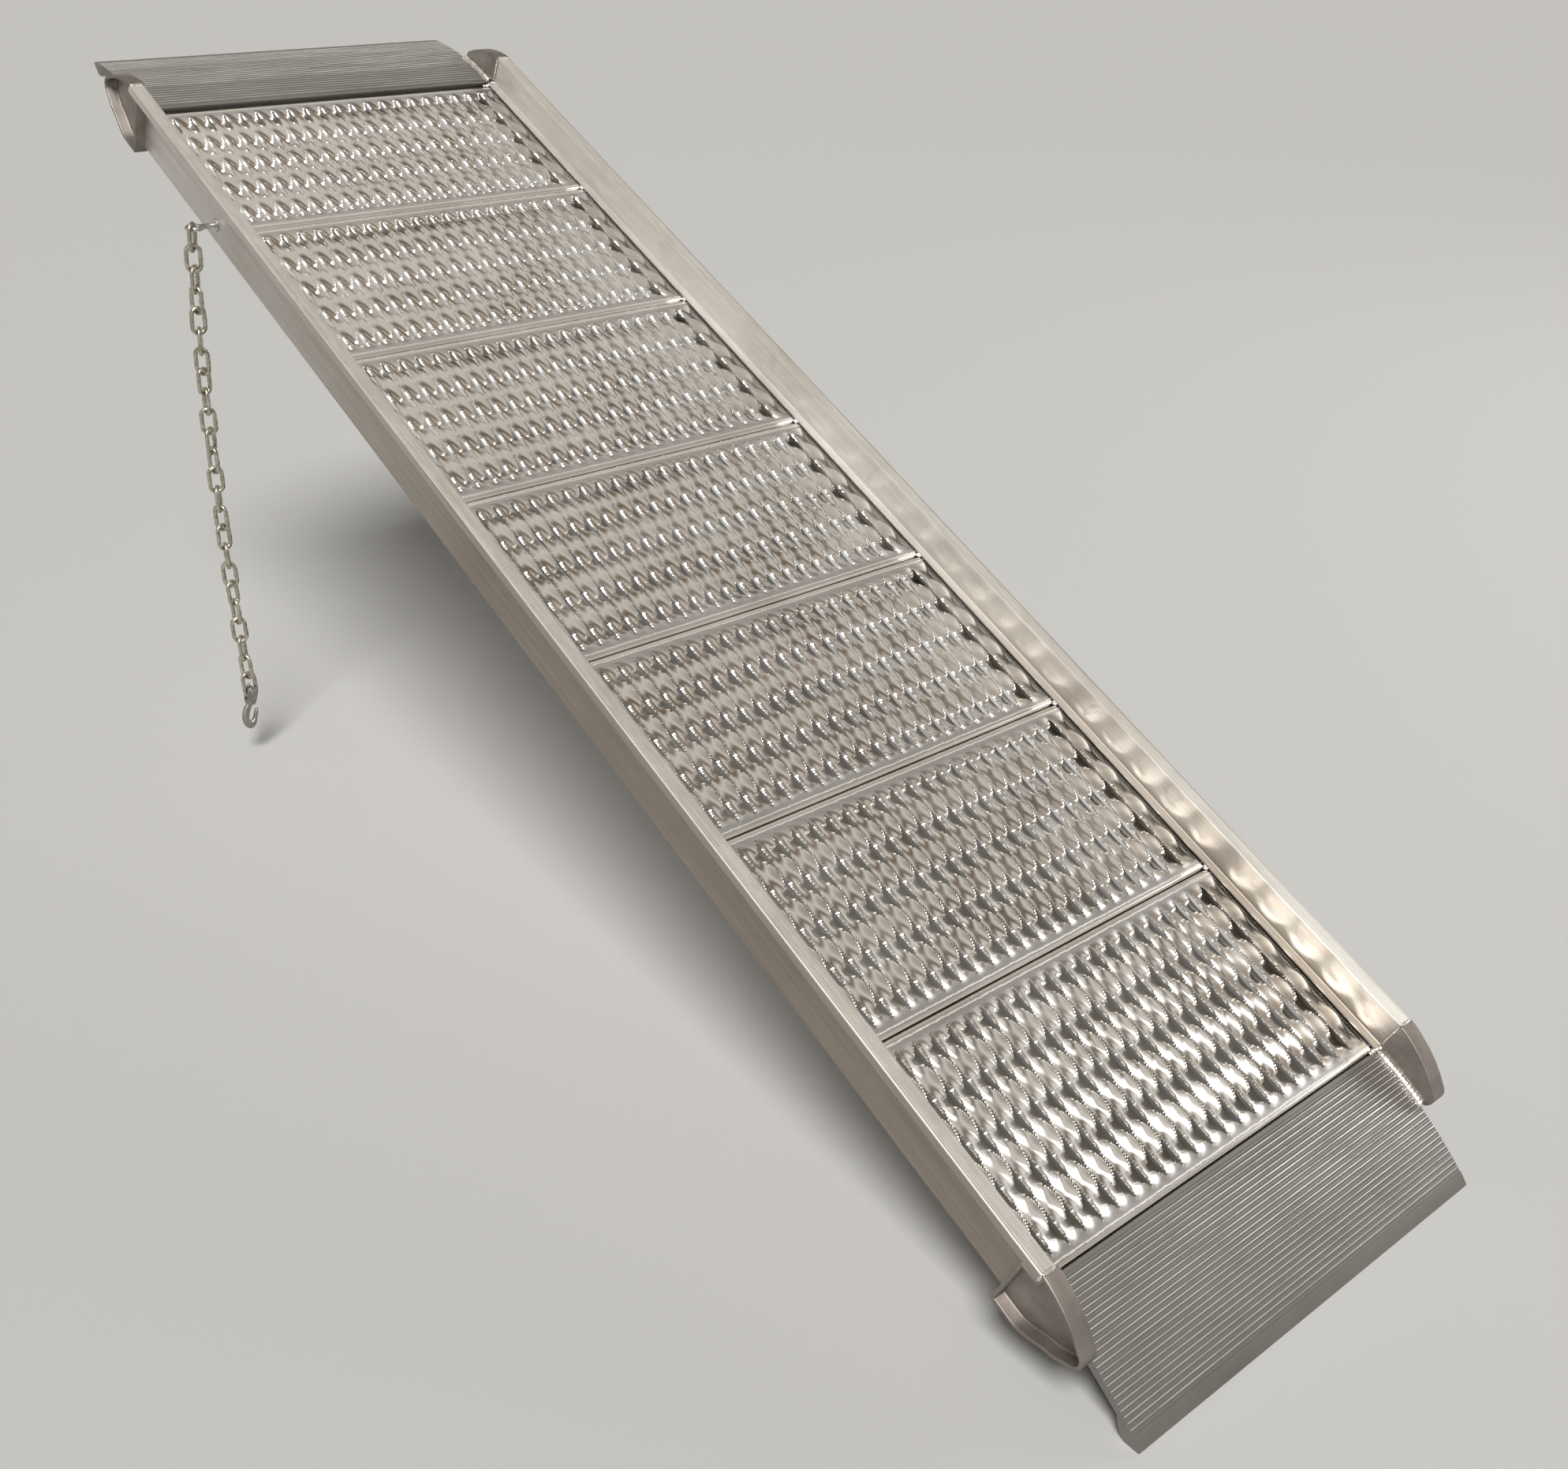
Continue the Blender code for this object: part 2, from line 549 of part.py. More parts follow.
cotter = bpy.data.curves.new("cotter_pin", "CURVE")
cotter.dimensions = "3D"
cotter.bevel_depth = mm(COTTER_WIRE)
cotter.bevel_resolution = 1
cotter.use_fill_caps = True
bow = [(across, height) for across, height in arc((0.0, 8.0), 2.2, 250.0, -60.0, 8)]
cotter_path = [(0.0, -7.5), (0.0, -PIN_RADIUS), (0.0, PIN_RADIUS), (0.0, 5.0)] + bow[:-1]
cotter_spline = cotter.splines.new("POLY")
cotter_spline.points.add(len(cotter_path) - 1)
for point, (across, height) in zip(cotter_spline.points, cotter_path):
    point.co = (mm(across), mm(COTTER_PLACE), mm(height), 1.0)
add_object("cotter_pin", cotter, ZINC, hook_frame)
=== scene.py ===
"""An aluminium loading ramp with punched traction planks, standing at its working slope."""
import json
import math

import bmesh
import bpy
import numpy as np
from mathutils import Matrix, Vector


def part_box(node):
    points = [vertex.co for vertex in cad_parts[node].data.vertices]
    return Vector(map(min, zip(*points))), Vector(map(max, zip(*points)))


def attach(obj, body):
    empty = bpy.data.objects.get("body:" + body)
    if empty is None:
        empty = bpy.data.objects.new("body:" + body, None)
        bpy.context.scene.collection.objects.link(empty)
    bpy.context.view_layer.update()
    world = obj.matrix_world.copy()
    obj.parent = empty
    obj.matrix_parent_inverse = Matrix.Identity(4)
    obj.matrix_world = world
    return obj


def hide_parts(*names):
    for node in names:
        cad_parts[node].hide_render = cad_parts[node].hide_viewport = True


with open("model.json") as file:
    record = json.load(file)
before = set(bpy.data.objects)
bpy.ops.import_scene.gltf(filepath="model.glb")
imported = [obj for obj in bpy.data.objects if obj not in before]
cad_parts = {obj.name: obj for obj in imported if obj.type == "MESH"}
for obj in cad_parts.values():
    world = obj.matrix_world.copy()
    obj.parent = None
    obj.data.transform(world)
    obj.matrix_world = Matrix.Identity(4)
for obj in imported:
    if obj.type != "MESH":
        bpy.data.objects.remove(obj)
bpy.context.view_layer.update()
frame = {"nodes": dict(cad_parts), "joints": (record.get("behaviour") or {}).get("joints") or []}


# ---- The studio ----
# A pale floor that the lower lip rests on, a broad soft light overhead and a warm, dim
# surround, so that the bright sheet has something light and something brown to mirror.
FLOOR_HALF = 30.0
FLOOR_GAP = 0.0005
ground = min(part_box("lower_lip")[0][2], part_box("grab_hook")[0][2])


def plain_finish(name, colour, roughness):
    """A matt, even finish for things that aren't the ramp."""
    made = bpy.data.materials.new(name)
    made.use_nodes = True
    shader = made.node_tree.nodes["Principled BSDF"]
    shader.inputs["Base Color"].default_value = (*colour, 1.0)
    shader.inputs["Roughness"].default_value = roughness
    return made


floor_shape = bmesh.new()
bmesh.ops.create_grid(floor_shape, x_segments=1, y_segments=1, size=FLOOR_HALF)
bmesh.ops.translate(floor_shape, vec=(0.0, 0.0, ground - FLOOR_GAP), verts=floor_shape.verts)
floor_data = bpy.data.meshes.new("studio_floor")
floor_shape.to_mesh(floor_data)
floor_shape.free()
floor_data.materials.append(plain_finish("pale_floor", (0.58, 0.575, 0.56), 0.9))
studio_floor = bpy.data.objects.new("studio_floor", floor_data)
bpy.context.collection.objects.link(studio_floor)


def lamp(name, kind, place, aim, power, colour, **shape):
    """A soft lamp that points at a spot."""
    light = bpy.data.lights.new(name, kind)
    light.energy = power
    light.color = colour
    for key, value in shape.items():
        setattr(light, key, value)
    made = bpy.data.objects.new(name, light)
    made.location = place
    made.rotation_euler = (Vector(aim) - Vector(place)).to_track_quat("-Z", "Y").to_euler()
    bpy.context.collection.objects.link(made)


MIDDLE = (1.0, 0.0, -0.45)
lamp("overhead_light", "SUN", (2.6, -1.5, 2.6), MIDDLE, 3.3, (1.0, 0.99, 0.975), angle=math.radians(24.0))
lamp("far_side_light", "AREA", (3.4, 4.6, 1.2), MIDDLE, 45.0, (1.0, 0.995, 0.98), size=2.4)

studio = bpy.data.worlds.new("studio")
studio.use_nodes = True
studio_nodes = studio.node_tree.nodes
studio_links = studio.node_tree.links
surround = studio_nodes["Background"]
direction = studio_nodes.new("ShaderNodeTexCoord")
split = studio_nodes.new("ShaderNodeSeparateXYZ")
studio_links.new(direction.outputs["Generated"], split.inputs["Vector"])


def sky_tones(*stops):
    """Colours of one side of the surround, from the horizon up."""
    ramp = studio_nodes.new("ShaderNodeValToRGB")
    marks = ramp.color_ramp.elements
    for index, (place, colour) in enumerate(stops):
        mark = marks[index] if index < 2 else marks.new(place)
        mark.position = place
        mark.color = (*colour, 1.0)
    studio_links.new(split.outputs["Z"], ramp.inputs["Fac"])
    return ramp.outputs["Color"]


brown_side = sky_tones((0.0, (0.14, 0.10, 0.065)), (1.0, (0.66, 0.64, 0.60)),
                       (0.16, (0.62, 0.58, 0.52)), (0.30, (0.66, 0.63, 0.58)), (0.42, (0.15, 0.11, 0.08)),
                       (0.54, (0.20, 0.155, 0.11)), (0.64, (0.62, 0.58, 0.52)), (0.78, (0.58, 0.55, 0.49)))
bright_side = sky_tones((0.0, (0.80, 0.79, 0.77)), (1.0, (0.46, 0.435, 0.40)),
                        (0.14, (0.16, 0.12, 0.085)), (0.27, (0.86, 0.85, 0.82)), (0.38, (0.66, 0.63, 0.58)),
                        (0.47, (0.14, 0.105, 0.08)), (0.55, (0.20, 0.16, 0.125)), (0.64, (0.72, 0.69, 0.65)),
                        (0.74, (0.33, 0.30, 0.26)))
side_change = studio_nodes.new("ShaderNodeMapRange")
side_change.interpolation_type = "SMOOTHSTEP"
side_change.inputs["From Min"].default_value = -0.40
side_change.inputs["From Max"].default_value = 0.05
studio_links.new(split.outputs["X"], side_change.inputs["Value"])
both_sides = studio_nodes.new("ShaderNodeMix")
both_sides.data_type = "RGBA"
studio_links.new(side_change.outputs["Result"], both_sides.inputs[0])
studio_links.new(brown_side, both_sides.inputs[6])
studio_links.new(bright_side, both_sides.inputs[7])
studio_links.new(both_sides.outputs[2], surround.inputs["Color"])

# The surround lights matt surfaces less than it shows in mirror-like ones.
ray = studio_nodes.new("ShaderNodeLightPath")
surround_power = studio_nodes.new("ShaderNodeMapRange")
surround_power.inputs["To Min"].default_value = 1.0
surround_power.inputs["To Max"].default_value = 0.16
studio_links.new(ray.outputs["Is Diffuse Ray"], surround_power.inputs["Value"])
studio_links.new(surround_power.outputs["Result"], surround.inputs["Strength"])
bpy.context.scene.world = studio
bpy.context.scene.view_settings.view_transform = "Standard"

camera_data = bpy.data.cameras.new("camera")
camera_data.lens = 39.898
camera_data.sensor_width = 36.0
camera_data.clip_start = 0.05
camera = bpy.data.objects.new("camera", camera_data)
camera.location = (2.7944, -1.3527, 0.42926)
camera.rotation_euler = [math.radians(angle) for angle in (61.4181, -1.8269, 49.6283)]
bpy.context.collection.objects.link(camera)
bpy.context.scene.camera = camera


# ---- Side rails ----
# Two mill-finish aluminium extrusions: an upright web, a ribbed flange turned outwards on top
# with a lip hanging from it, a ledge over the planks' ends and a shelf under them.
SLOPE = math.radians(24.0)
PLANK_PITCH = 300.0
PLANK_GAP = 1.6
PLANK_COUNT = 7
DECK_LENGTH = PLANK_COUNT * PLANK_PITCH

# The ramp's own frame, in millimetres: u down the slope, v across, w off the deck's top.
DOWNHILL = Matrix.Rotation(SLOPE, 4, "Y")
level_points = [DOWNHILL.inverted() @ corner.co
                for corner in frame["nodes"]["deck_plank_1"].data.vertices]
seam_u = min(point.x for point in level_points) - PLANK_GAP / 2.0 * 0.001
deck_w = max(point.z for point in level_points)
RAMP = DOWNHILL @ Matrix.Translation((seam_u, 0.0, deck_w)) @ Matrix.Diagonal((0.001, 0.001, 0.001, 1.0))


def prism(shape, outline, place, sweep):
    """Extrude a flat outline: place(a, b) gives each corner, sweep is the extrusion."""
    face = shape.faces.new([shape.verts.new(place(a, b)) for a, b in outline])
    grown = bmesh.ops.extrude_face_region(shape, geom=[face], use_keep_orig=True)
    moved = [item for item in grown["geom"] if isinstance(item, bmesh.types.BMVert)]
    bmesh.ops.translate(shape, vec=sweep, verts=moved)


def arc(centre, radius, start, end, steps):
    """Points on an arc, angles in degrees."""
    points = []
    for step in range(steps + 1):
        angle = math.radians(start + (end - start) * step / steps)
        points.append((centre[0] + radius * math.cos(angle), centre[1] + radius * math.sin(angle)))
    return points


def finish_piece(name, shape, finish, body, place=RAMP, turn_out=True, crease=32.0):
    """Place a bmesh in the world, make it an object of its own and let it ride on a body."""
    if turn_out:
        bmesh.ops.recalc_face_normals(shape, faces=shape.faces)
    bmesh.ops.transform(shape, matrix=place, verts=shape.verts)
    data = bpy.data.meshes.new(name)
    shape.to_mesh(data)
    shape.free()
    data.shade_smooth()
    data.set_sharp_from_angle(angle=math.radians(crease))
    data.materials.append(finish)
    piece = bpy.data.objects.new(name, data)
    bpy.context.collection.objects.link(piece)
    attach(piece, body)
    return piece


class Finish:
    """A metal built up from noise patterns that lie along the ramp's own axes."""

    def __init__(self, name, metallic=1.0):
        self.material = bpy.data.materials.new(name)
        self.material.use_nodes = True
        self.tree = self.material.node_tree
        self.shader = self.tree.nodes["Principled BSDF"]
        self.shader.inputs["Metallic"].default_value = metallic
        self.coordinates = self.tree.nodes.new("ShaderNodeTexCoord")
        self.height = None

    def node(self, kind, **inputs):
        made = self.tree.nodes.new(kind)
        for key, value in inputs.items():
            self.feed(made.inputs[key.replace("_", " ")], value)
        return made

    def feed(self, socket, value):
        if isinstance(value, bpy.types.NodeSocket):
            self.tree.links.new(value, socket)
        else:
            socket.default_value = value

    def along_ramp(self, stretch):
        """Object coordinates in metres, levelled with the deck and stretched along u, v and w."""
        level = self.node("ShaderNodeMapping", Vector=self.coordinates.outputs["Object"],
                          Rotation=(0.0, -SLOPE, 0.0))
        return self.node("ShaderNodeMapping", Vector=level.outputs["Vector"], Scale=stretch).outputs["Vector"]

    def ramp_axis(self, axis):
        """Distance down the slope (X), across (Y) or off the deck (Z), in metres."""
        level = self.node("ShaderNodeMapping", Vector=self.coordinates.outputs["Object"],
                          Rotation=(0.0, -SLOPE, 0.0), Location=(-seam_u, 0.0, -deck_w))
        return self.node("ShaderNodeSeparateXYZ", Vector=level.outputs["Vector"]).outputs[axis]

    def noise(self, scale, stretch=(1.0, 1.0, 1.0), detail=4.0, rough=0.55):
        grain = self.node("ShaderNodeTexNoise", Vector=self.along_ramp(stretch), Scale=scale, Detail=detail,
                          Roughness=rough)
        return grain.outputs["Fac"]

    def remap(self, value, low, high, to_low, to_high):
        change = self.node("ShaderNodeMapRange")
        for key, amount in (("Value", value), ("From Min", low), ("From Max", high),
                            ("To Min", to_low), ("To Max", to_high)):
            self.feed(change.inputs[key], amount)
        return change.outputs["Result"]

    def combine(self, operation, first, second):
        made = self.tree.nodes.new("ShaderNodeMath")
        made.operation = operation
        self.feed(made.inputs[0], first)
        self.feed(made.inputs[1], second)
        return made.outputs[0]

    def tones(self, value, *stops):
        """Colours along a value: stops are (place, (red, green, blue))."""
        ramp = self.tree.nodes.new("ShaderNodeValToRGB")
        marks = ramp.color_ramp.elements
        for index, (place, colour) in enumerate(stops):
            mark = marks[index] if index < 2 else marks.new(place)
            mark.position = place
            mark.color = (*colour, 1.0)
        self.feed(ramp.inputs["Fac"], value)
        return ramp.outputs["Color"]

    def blend(self, amount, first, second, mode="MIX"):
        made = self.tree.nodes.new("ShaderNodeMix")
        made.data_type = "RGBA"
        made.blend_type = mode
        self.feed(made.inputs[0], amount)
        self.feed(made.inputs[6], first)
        self.feed(made.inputs[7], second)
        return made.outputs[2]

    def bump(self, value, strength, depth):
        """Lay a relief over any there is already."""
        relief = self.node("ShaderNodeBump", Height=value, Strength=strength, Distance=depth)
        if self.height is not None:
            self.feed(relief.inputs["Normal"], self.height)
        self.height = relief.outputs["Normal"]
        self.feed(self.shader.inputs["Normal"], self.height)

    def colour(self, value):
        self.feed(self.shader.inputs["Base Color"], value)

    def roughness(self, value):
        self.feed(self.shader.inputs["Roughness"], value)


RAIL_INNER = 306.5
RAIL_WEB = 4.5
RAIL_FACE = RAIL_INNER + RAIL_WEB
RAIL_OUTER = 327.0
RAIL_TOP = 50.0
RAIL_BOTTOM = -40.0
RAIL_SKIN = 5.0
RAIL_LIP_DROP = 13.4
RAIL_EDGE = 1.4
RAIL_CORNER = 0.7
LEDGE_TIP = 296.5
LEDGE_TOP = 5.5
LEDGE_UNDER = 2.5
LEDGE_FILLET = 1.5
SHELF_TIP = 284.5
FLANGE_RIBS = 5
FLANGE_RIB_PITCH = 3.1
FLANGE_RIB_START = 308.7
FLANGE_RIB_HEIGHT = 0.6
SIDES = {"left": -1.0, "right": 1.0}


def rail_outline():
    """Section of the right rail, anticlockwise from the tip of the shelf under the planks."""
    lip_foot = RAIL_TOP - RAIL_LIP_DROP
    under_flange = RAIL_TOP - RAIL_SKIN
    shelf_top = RAIL_BOTTOM + RAIL_WEB
    ribs = []
    for number in reversed(range(FLANGE_RIBS)):
        start = FLANGE_RIB_START + number * FLANGE_RIB_PITCH
        ribs += [(start + 1.8, RAIL_TOP), (start + 1.3, RAIL_TOP + FLANGE_RIB_HEIGHT),
                 (start + 0.5, RAIL_TOP + FLANGE_RIB_HEIGHT), (start, RAIL_TOP)]
    return ([(SHELF_TIP, RAIL_BOTTOM), (RAIL_FACE - 1.0, RAIL_BOTTOM), (RAIL_FACE, RAIL_BOTTOM + 1.0),
             (RAIL_FACE, under_flange), (RAIL_OUTER - RAIL_SKIN, under_flange),
             (RAIL_OUTER - RAIL_SKIN, lip_foot + 1.0), (RAIL_OUTER - RAIL_SKIN + 1.0, lip_foot),
             (RAIL_OUTER - 1.0, lip_foot), (RAIL_OUTER, lip_foot + 1.0)]
            + arc((RAIL_OUTER - RAIL_EDGE, RAIL_TOP - RAIL_EDGE), RAIL_EDGE, 0.0, 90.0, 5)
            + ribs
            + arc((RAIL_INNER + RAIL_CORNER, RAIL_TOP - RAIL_CORNER), RAIL_CORNER, 90.0, 180.0, 3)
            + arc((RAIL_INNER - LEDGE_FILLET, LEDGE_TOP + LEDGE_FILLET), LEDGE_FILLET, 0.0, -90.0, 5)
            + [(LEDGE_TIP + 1.0, LEDGE_TOP), (LEDGE_TIP + 0.3, LEDGE_TOP - 0.3), (LEDGE_TIP, LEDGE_TOP - 1.0),
               (LEDGE_TIP, LEDGE_UNDER), (RAIL_INNER, LEDGE_UNDER), (RAIL_INNER, shelf_top),
               (SHELF_TIP, shelf_top)])


rail_finish = Finish("mill_finish_aluminium")
die_lines = rail_finish.noise(420.0, (0.012, 1.0, 1.0), detail=3.0)
clouds = rail_finish.noise(5.0, (0.6, 1.0, 1.0), detail=5.0)
scuffs = rail_finish.noise(90.0, (0.35, 1.0, 1.0), detail=6.0, rough=0.7)
rail_tone = rail_finish.tones(clouds, (0.3, (0.68, 0.65, 0.615)), (0.7, (0.84, 0.825, 0.80)))
rail_lines = rail_finish.tones(die_lines, (0.32, (0.80, 0.79, 0.78)), (0.68, (1.0, 1.0, 1.0)))

# Painted shade darkens the rails' colour towards the foot, standing in for the darker ground their sides
# reflect. It starts sooner on the left one, is fainter on that rail's hanging lip and all but stops at the
# flanges' tops. Places are in metres.
BETWEEN_RAILS = (-0.2, 0.2)
PAINTED_SHADE_STARTS = (0.15, 1.0)              # down the slope, on the left and on the right rail
PAINTED_SHADE_RUN = 0.85                        # from its first trace to its full tone
PAINTED_SHADE_SHARES = (1.0, 0.85)              # on the left and on the right rail
HANGING_LIP = (-0.3225, -0.3195)
HANGING_LIP_SHARE = 0.72
FLANGE_TOP = (0.0470, 0.0492)
FLANGE_TOP_SHARE = 0.12
painted_shade_start = rail_finish.remap(rail_finish.ramp_axis("Y"), *BETWEEN_RAILS, *PAINTED_SHADE_STARTS)
painted_shade_end = rail_finish.combine("ADD", painted_shade_start, PAINTED_SHADE_RUN)
painted_shade_depth = rail_finish.remap(rail_finish.ramp_axis("X"), painted_shade_start, painted_shade_end, 0.0, 1.0)
rail_painted_shade = rail_finish.tones(painted_shade_depth, (0.0, (1.0, 1.0, 1.0)), (1.0, (0.50, 0.46, 0.415)))
painted_shade_side = rail_finish.remap(rail_finish.ramp_axis("Y"), *BETWEEN_RAILS, *PAINTED_SHADE_SHARES)
off_lip = rail_finish.remap(rail_finish.ramp_axis("Y"), *HANGING_LIP, HANGING_LIP_SHARE, 1.0)
under_flange = rail_finish.remap(rail_finish.ramp_axis("Z"), *FLANGE_TOP, 1.0, FLANGE_TOP_SHARE)
painted_shade_amount = rail_finish.combine("MULTIPLY", painted_shade_side, off_lip)
painted_shade_amount = rail_finish.combine("MULTIPLY", painted_shade_amount, under_flange)
# Painted shade: the rails' colour is multiplied darker here, most on the left rail's sides and least on the
# flanges' tops.
rail_tone = rail_finish.blend(painted_shade_amount, rail_tone, rail_painted_shade, "MULTIPLY")
rail_finish.colour(rail_finish.blend(0.8, rail_tone, rail_lines, "MULTIPLY"))
rail_finish.roughness(rail_finish.remap(scuffs, 0.3, 0.75, 0.42, 0.56))
rail_finish.bump(die_lines, 0.16, 0.0006)
rail_finish.bump(scuffs, 0.05, 0.0005)

for word, side in SIDES.items():
    rail_shape = bmesh.new()
    prism(rail_shape, rail_outline(), lambda a, b: (0.0, side * a, b), (DECK_LENGTH, 0.0, 0.0))
    rail = finish_piece(f"rail_{word}", rail_shape, rail_finish.material, "ramp")
    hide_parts(*[f"{part}_{word}"
                        for part in ("side_rail", "rail_flange", "rail_ledge", "rail_shelf")])


# ---- Deck planks ----
# Bright aluminium sheet with toothed slits that run down the slope. Each strip between two
# slits is pressed up along one cut edge and down along the other, in waves that leave the
# openings. Both long edges fold down, and the ends are held by the rails.
SHEET = 2.6
HALF_SPAN = 303.0
FOLD_RADIUS = 4.0
FOLD_DEPTH = 35.0
ROW_COUNT = 23
ROW_PITCH = 26.65
HOLE_PITCH = 57.7
TOOTH_STEP = HOLE_PITCH / 32.0          # two steps to a tooth
PUNCHED_HALF = 75                       # steps from a row's middle to its ends
ROW_TAPER = 11 * TOOTH_STEP             # the waves die away over this length
ARCH_MEAN = 3.4
ARCH_SWING = 1.4
ARCH_REACH = 0.62                       # of a strip's width
DISH_MEAN = 1.8
DISH_SWING = 1.0
DISH_REACH = 0.72
TOOTH_REACH = 1.0
SLIT_OPEN = 0.9
SLIT_SWING = 0.45
STRIP_CUTS = (0.0, 0.05, 0.13, 0.24, 0.38, 0.53, 0.68, 0.84, 1.0)


def plank_columns():
    """Where the sheet's cross lines lie: distance from the middle of the plank and height."""
    half_width = (PLANK_PITCH - PLANK_GAP) / 2.0
    fold_start = half_width - FOLD_RADIUS
    punched = [(step * TOOTH_STEP, 0.0) for step in range(-PUNCHED_HALF, PUNCHED_HALF + 1)]
    margin_start = PUNCHED_HALF * TOOTH_STEP
    margin = [(margin_start + (fold_start - margin_start) * part, 0.0) for part in (0.3, 0.65)]
    fold = arc((fold_start, -FOLD_RADIUS), FOLD_RADIUS, 90.0, 0.0, 4) + [(half_width, -FOLD_DEPTH)]
    right = margin + fold
    left = [(-along, height) for along, height in reversed(right)]
    return left + punched + right


def wave(along):
    """How far along its wave a slit is, from -1 to 1, and how it dies away at the row's ends."""
    phase = math.cos(2.0 * math.pi * along / HOLE_PITCH)
    past = max(0.0, abs(along) - (PUNCHED_HALF * TOOTH_STEP - ROW_TAPER)) / ROW_TAPER
    return phase, math.sqrt(max(0.0, 1.0 - past * past))


def pressed_height(along, part):
    """Height of the pressed sheet, part of the way across its strip."""
    phase, fade = wave(along)
    arch = 0.5 + 0.5 * math.cos(math.pi * min(part / ARCH_REACH, 1.0))
    dish = 0.5 + 0.5 * math.cos(math.pi * min((1.0 - part) / DISH_REACH, 1.0))
    return fade * ((ARCH_MEAN + ARCH_SWING * phase) * arch - (DISH_MEAN + DISH_SWING * phase) * dish)


def tooth(along):
    """Zigzag of a cut edge, and how far its slit is open there."""
    phase, fade = wave(along)
    if fade <= 0.01:
        return 0.0, 0.0
    step = round(along / TOOTH_STEP)
    swing = TOOTH_REACH if step % 2 else -TOOTH_REACH
    return swing * min(1.0, 1.5 * fade), (SLIT_OPEN + SLIT_SWING * phase) * fade


def strip(shape, start, end, pressed=True, cut_start=True, cut_end=True):
    """One strip of sheet between two slits, from a grid whose points are moved into place."""
    columns = plank_columns()
    cuts = STRIP_CUTS if pressed else (0.0, 1.0)
    made = bmesh.ops.create_grid(shape, x_segments=len(columns) - 1, y_segments=len(cuts) - 1, size=1.0)
    for point in made["verts"]:
        along, height = columns[round((point.co.x + 1.0) / 2.0 * (len(columns) - 1))]
        cut = round((point.co.y + 1.0) / 2.0 * (len(cuts) - 1))
        across = start + (end - start) * cuts[cut]
        if abs(along) <= PUNCHED_HALF * TOOTH_STEP + 0.01:
            swing, opening = tooth(along)
            if pressed:
                height = pressed_height(along, cuts[cut])
            if cut == 0 and cut_start:
                across += swing + opening
            if cut == len(cuts) - 1 and cut_end:
                across += swing - opening
        point.co = (along, across, height)


plank_shape = bmesh.new()
first_slit = -(ROW_COUNT - 1) / 2.0 * ROW_PITCH
strip(plank_shape, -HALF_SPAN, first_slit, pressed=False, cut_start=False)
strip(plank_shape, -first_slit, HALF_SPAN, pressed=False, cut_end=False)
for row in range(ROW_COUNT - 1):
    start = first_slit + row * ROW_PITCH
    strip(plank_shape, start, start + ROW_PITCH)
bmesh.ops.remove_doubles(plank_shape, verts=plank_shape.verts, dist=0.02)
for _ in range(2):
    inside = [point for point in plank_shape.verts
              if not point.is_boundary and abs(point.co.x) < PUNCHED_HALF * TOOTH_STEP + 8.0]
    bmesh.ops.smooth_vert(plank_shape, verts=inside, factor=0.5, use_axis_z=True)
bmesh.ops.solidify(plank_shape, geom=plank_shape.faces[:], thickness=SHEET)
plank_data = bpy.data.meshes.new("plank_sheet")
plank_shape.to_mesh(plank_data)
plank_shape.free()

plank_finish = Finish("punched_bright_aluminium")
smears = plank_finish.noise(16.0, (1.0, 0.5, 1.0), detail=5.0)
mottle = plank_finish.noise(140.0, detail=4.0, rough=0.6)
ragged = plank_finish.noise(110.0, detail=8.0, rough=0.75)
from_seam = plank_finish.combine("PINGPONG", plank_finish.ramp_axis("X"), PLANK_PITCH * 0.0005)
from_seam = plank_finish.combine("ADD", from_seam, plank_finish.remap(ragged, 0.3, 0.7, -0.0011, 0.0011))
dulled = plank_finish.combine("MULTIPLY", plank_finish.remap(from_seam, 0.0088, 0.0096, 0.0, 1.0),
                              plank_finish.remap(from_seam, 0.015, 0.026, 1.0, 0.0))
rime = plank_finish.combine("MULTIPLY", plank_finish.remap(from_seam, 0.0074, 0.0082, 0.0, 1.0),
                            plank_finish.remap(from_seam, 0.0088, 0.0097, 1.0, 0.0))
bright_tone = plank_finish.tones(smears, (0.3, (0.80, 0.775, 0.74)), (0.7, (0.92, 0.905, 0.88)))
dull_tone = plank_finish.blend(dulled, bright_tone, (0.60, 0.59, 0.585, 1.0))
plank_finish.colour(plank_finish.blend(rime, dull_tone, (0.97, 0.96, 0.94, 1.0)))
sheet_gloss = plank_finish.remap(smears, 0.3, 0.7, 0.09, 0.22)
sheet_gloss = plank_finish.combine("ADD", sheet_gloss, plank_finish.combine("MULTIPLY", dulled, 0.16))
plank_finish.roughness(plank_finish.combine("ADD", sheet_gloss, plank_finish.combine("MULTIPLY", rime, 0.3)))
plank_finish.bump(mottle, 0.06, 0.0006)
plank_finish.bump(rime, 0.5, 0.0003)

for number in range(PLANK_COUNT):
    sheet_shape = bmesh.new()
    sheet_shape.from_mesh(plank_data)
    bmesh.ops.translate(sheet_shape, vec=((number + 0.5) * PLANK_PITCH, 0.0, 0.0), verts=sheet_shape.verts)
    plank = finish_piece(f"plank_{number + 1}", sheet_shape, plank_finish.material, "ramp", turn_out=False,
                         crease=42.0)
    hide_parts(f"deck_plank_{number + 1}")


# ---- Lips ----
# One ribbed extrusion, cut twice: the upper piece lies on the bed, the lower one's thick toe
# stands on the ground. Each is crowned, and its root leg is welded against the last plank.
LIP_HALF_SPAN = 300.0
LIP_LENGTH = 178.0
LIP_RADIUS = 423.0
LIP_PLATE = 9.0
LIP_RIB_PITCH = 6.35
LIP_RIB_COUNT = 25
LIP_RIB_START = 5.0
LIP_RIB_DEPTH = 1.1
TOE_START = LIP_LENGTH - 12.0
# A groove between two ribs: reach along the lip, and share of the full depth.
GROOVE_PROFILE = ((0.0, 0.0), (0.5, 0.55), (1.3, 0.92), (2.5, 1.0), (3.7, 0.92), (4.5, 0.55), (5.0, 0.0))
CREST_SETBACK = 0.68                    # from a groove's start back to the crest's middle
CREST_WIDEST = 1.5
CREST_REACH = 0.9


def lip_crown(along):
    """Height of the lip's crowned top."""
    return -along * along / (2.0 * LIP_RADIUS)


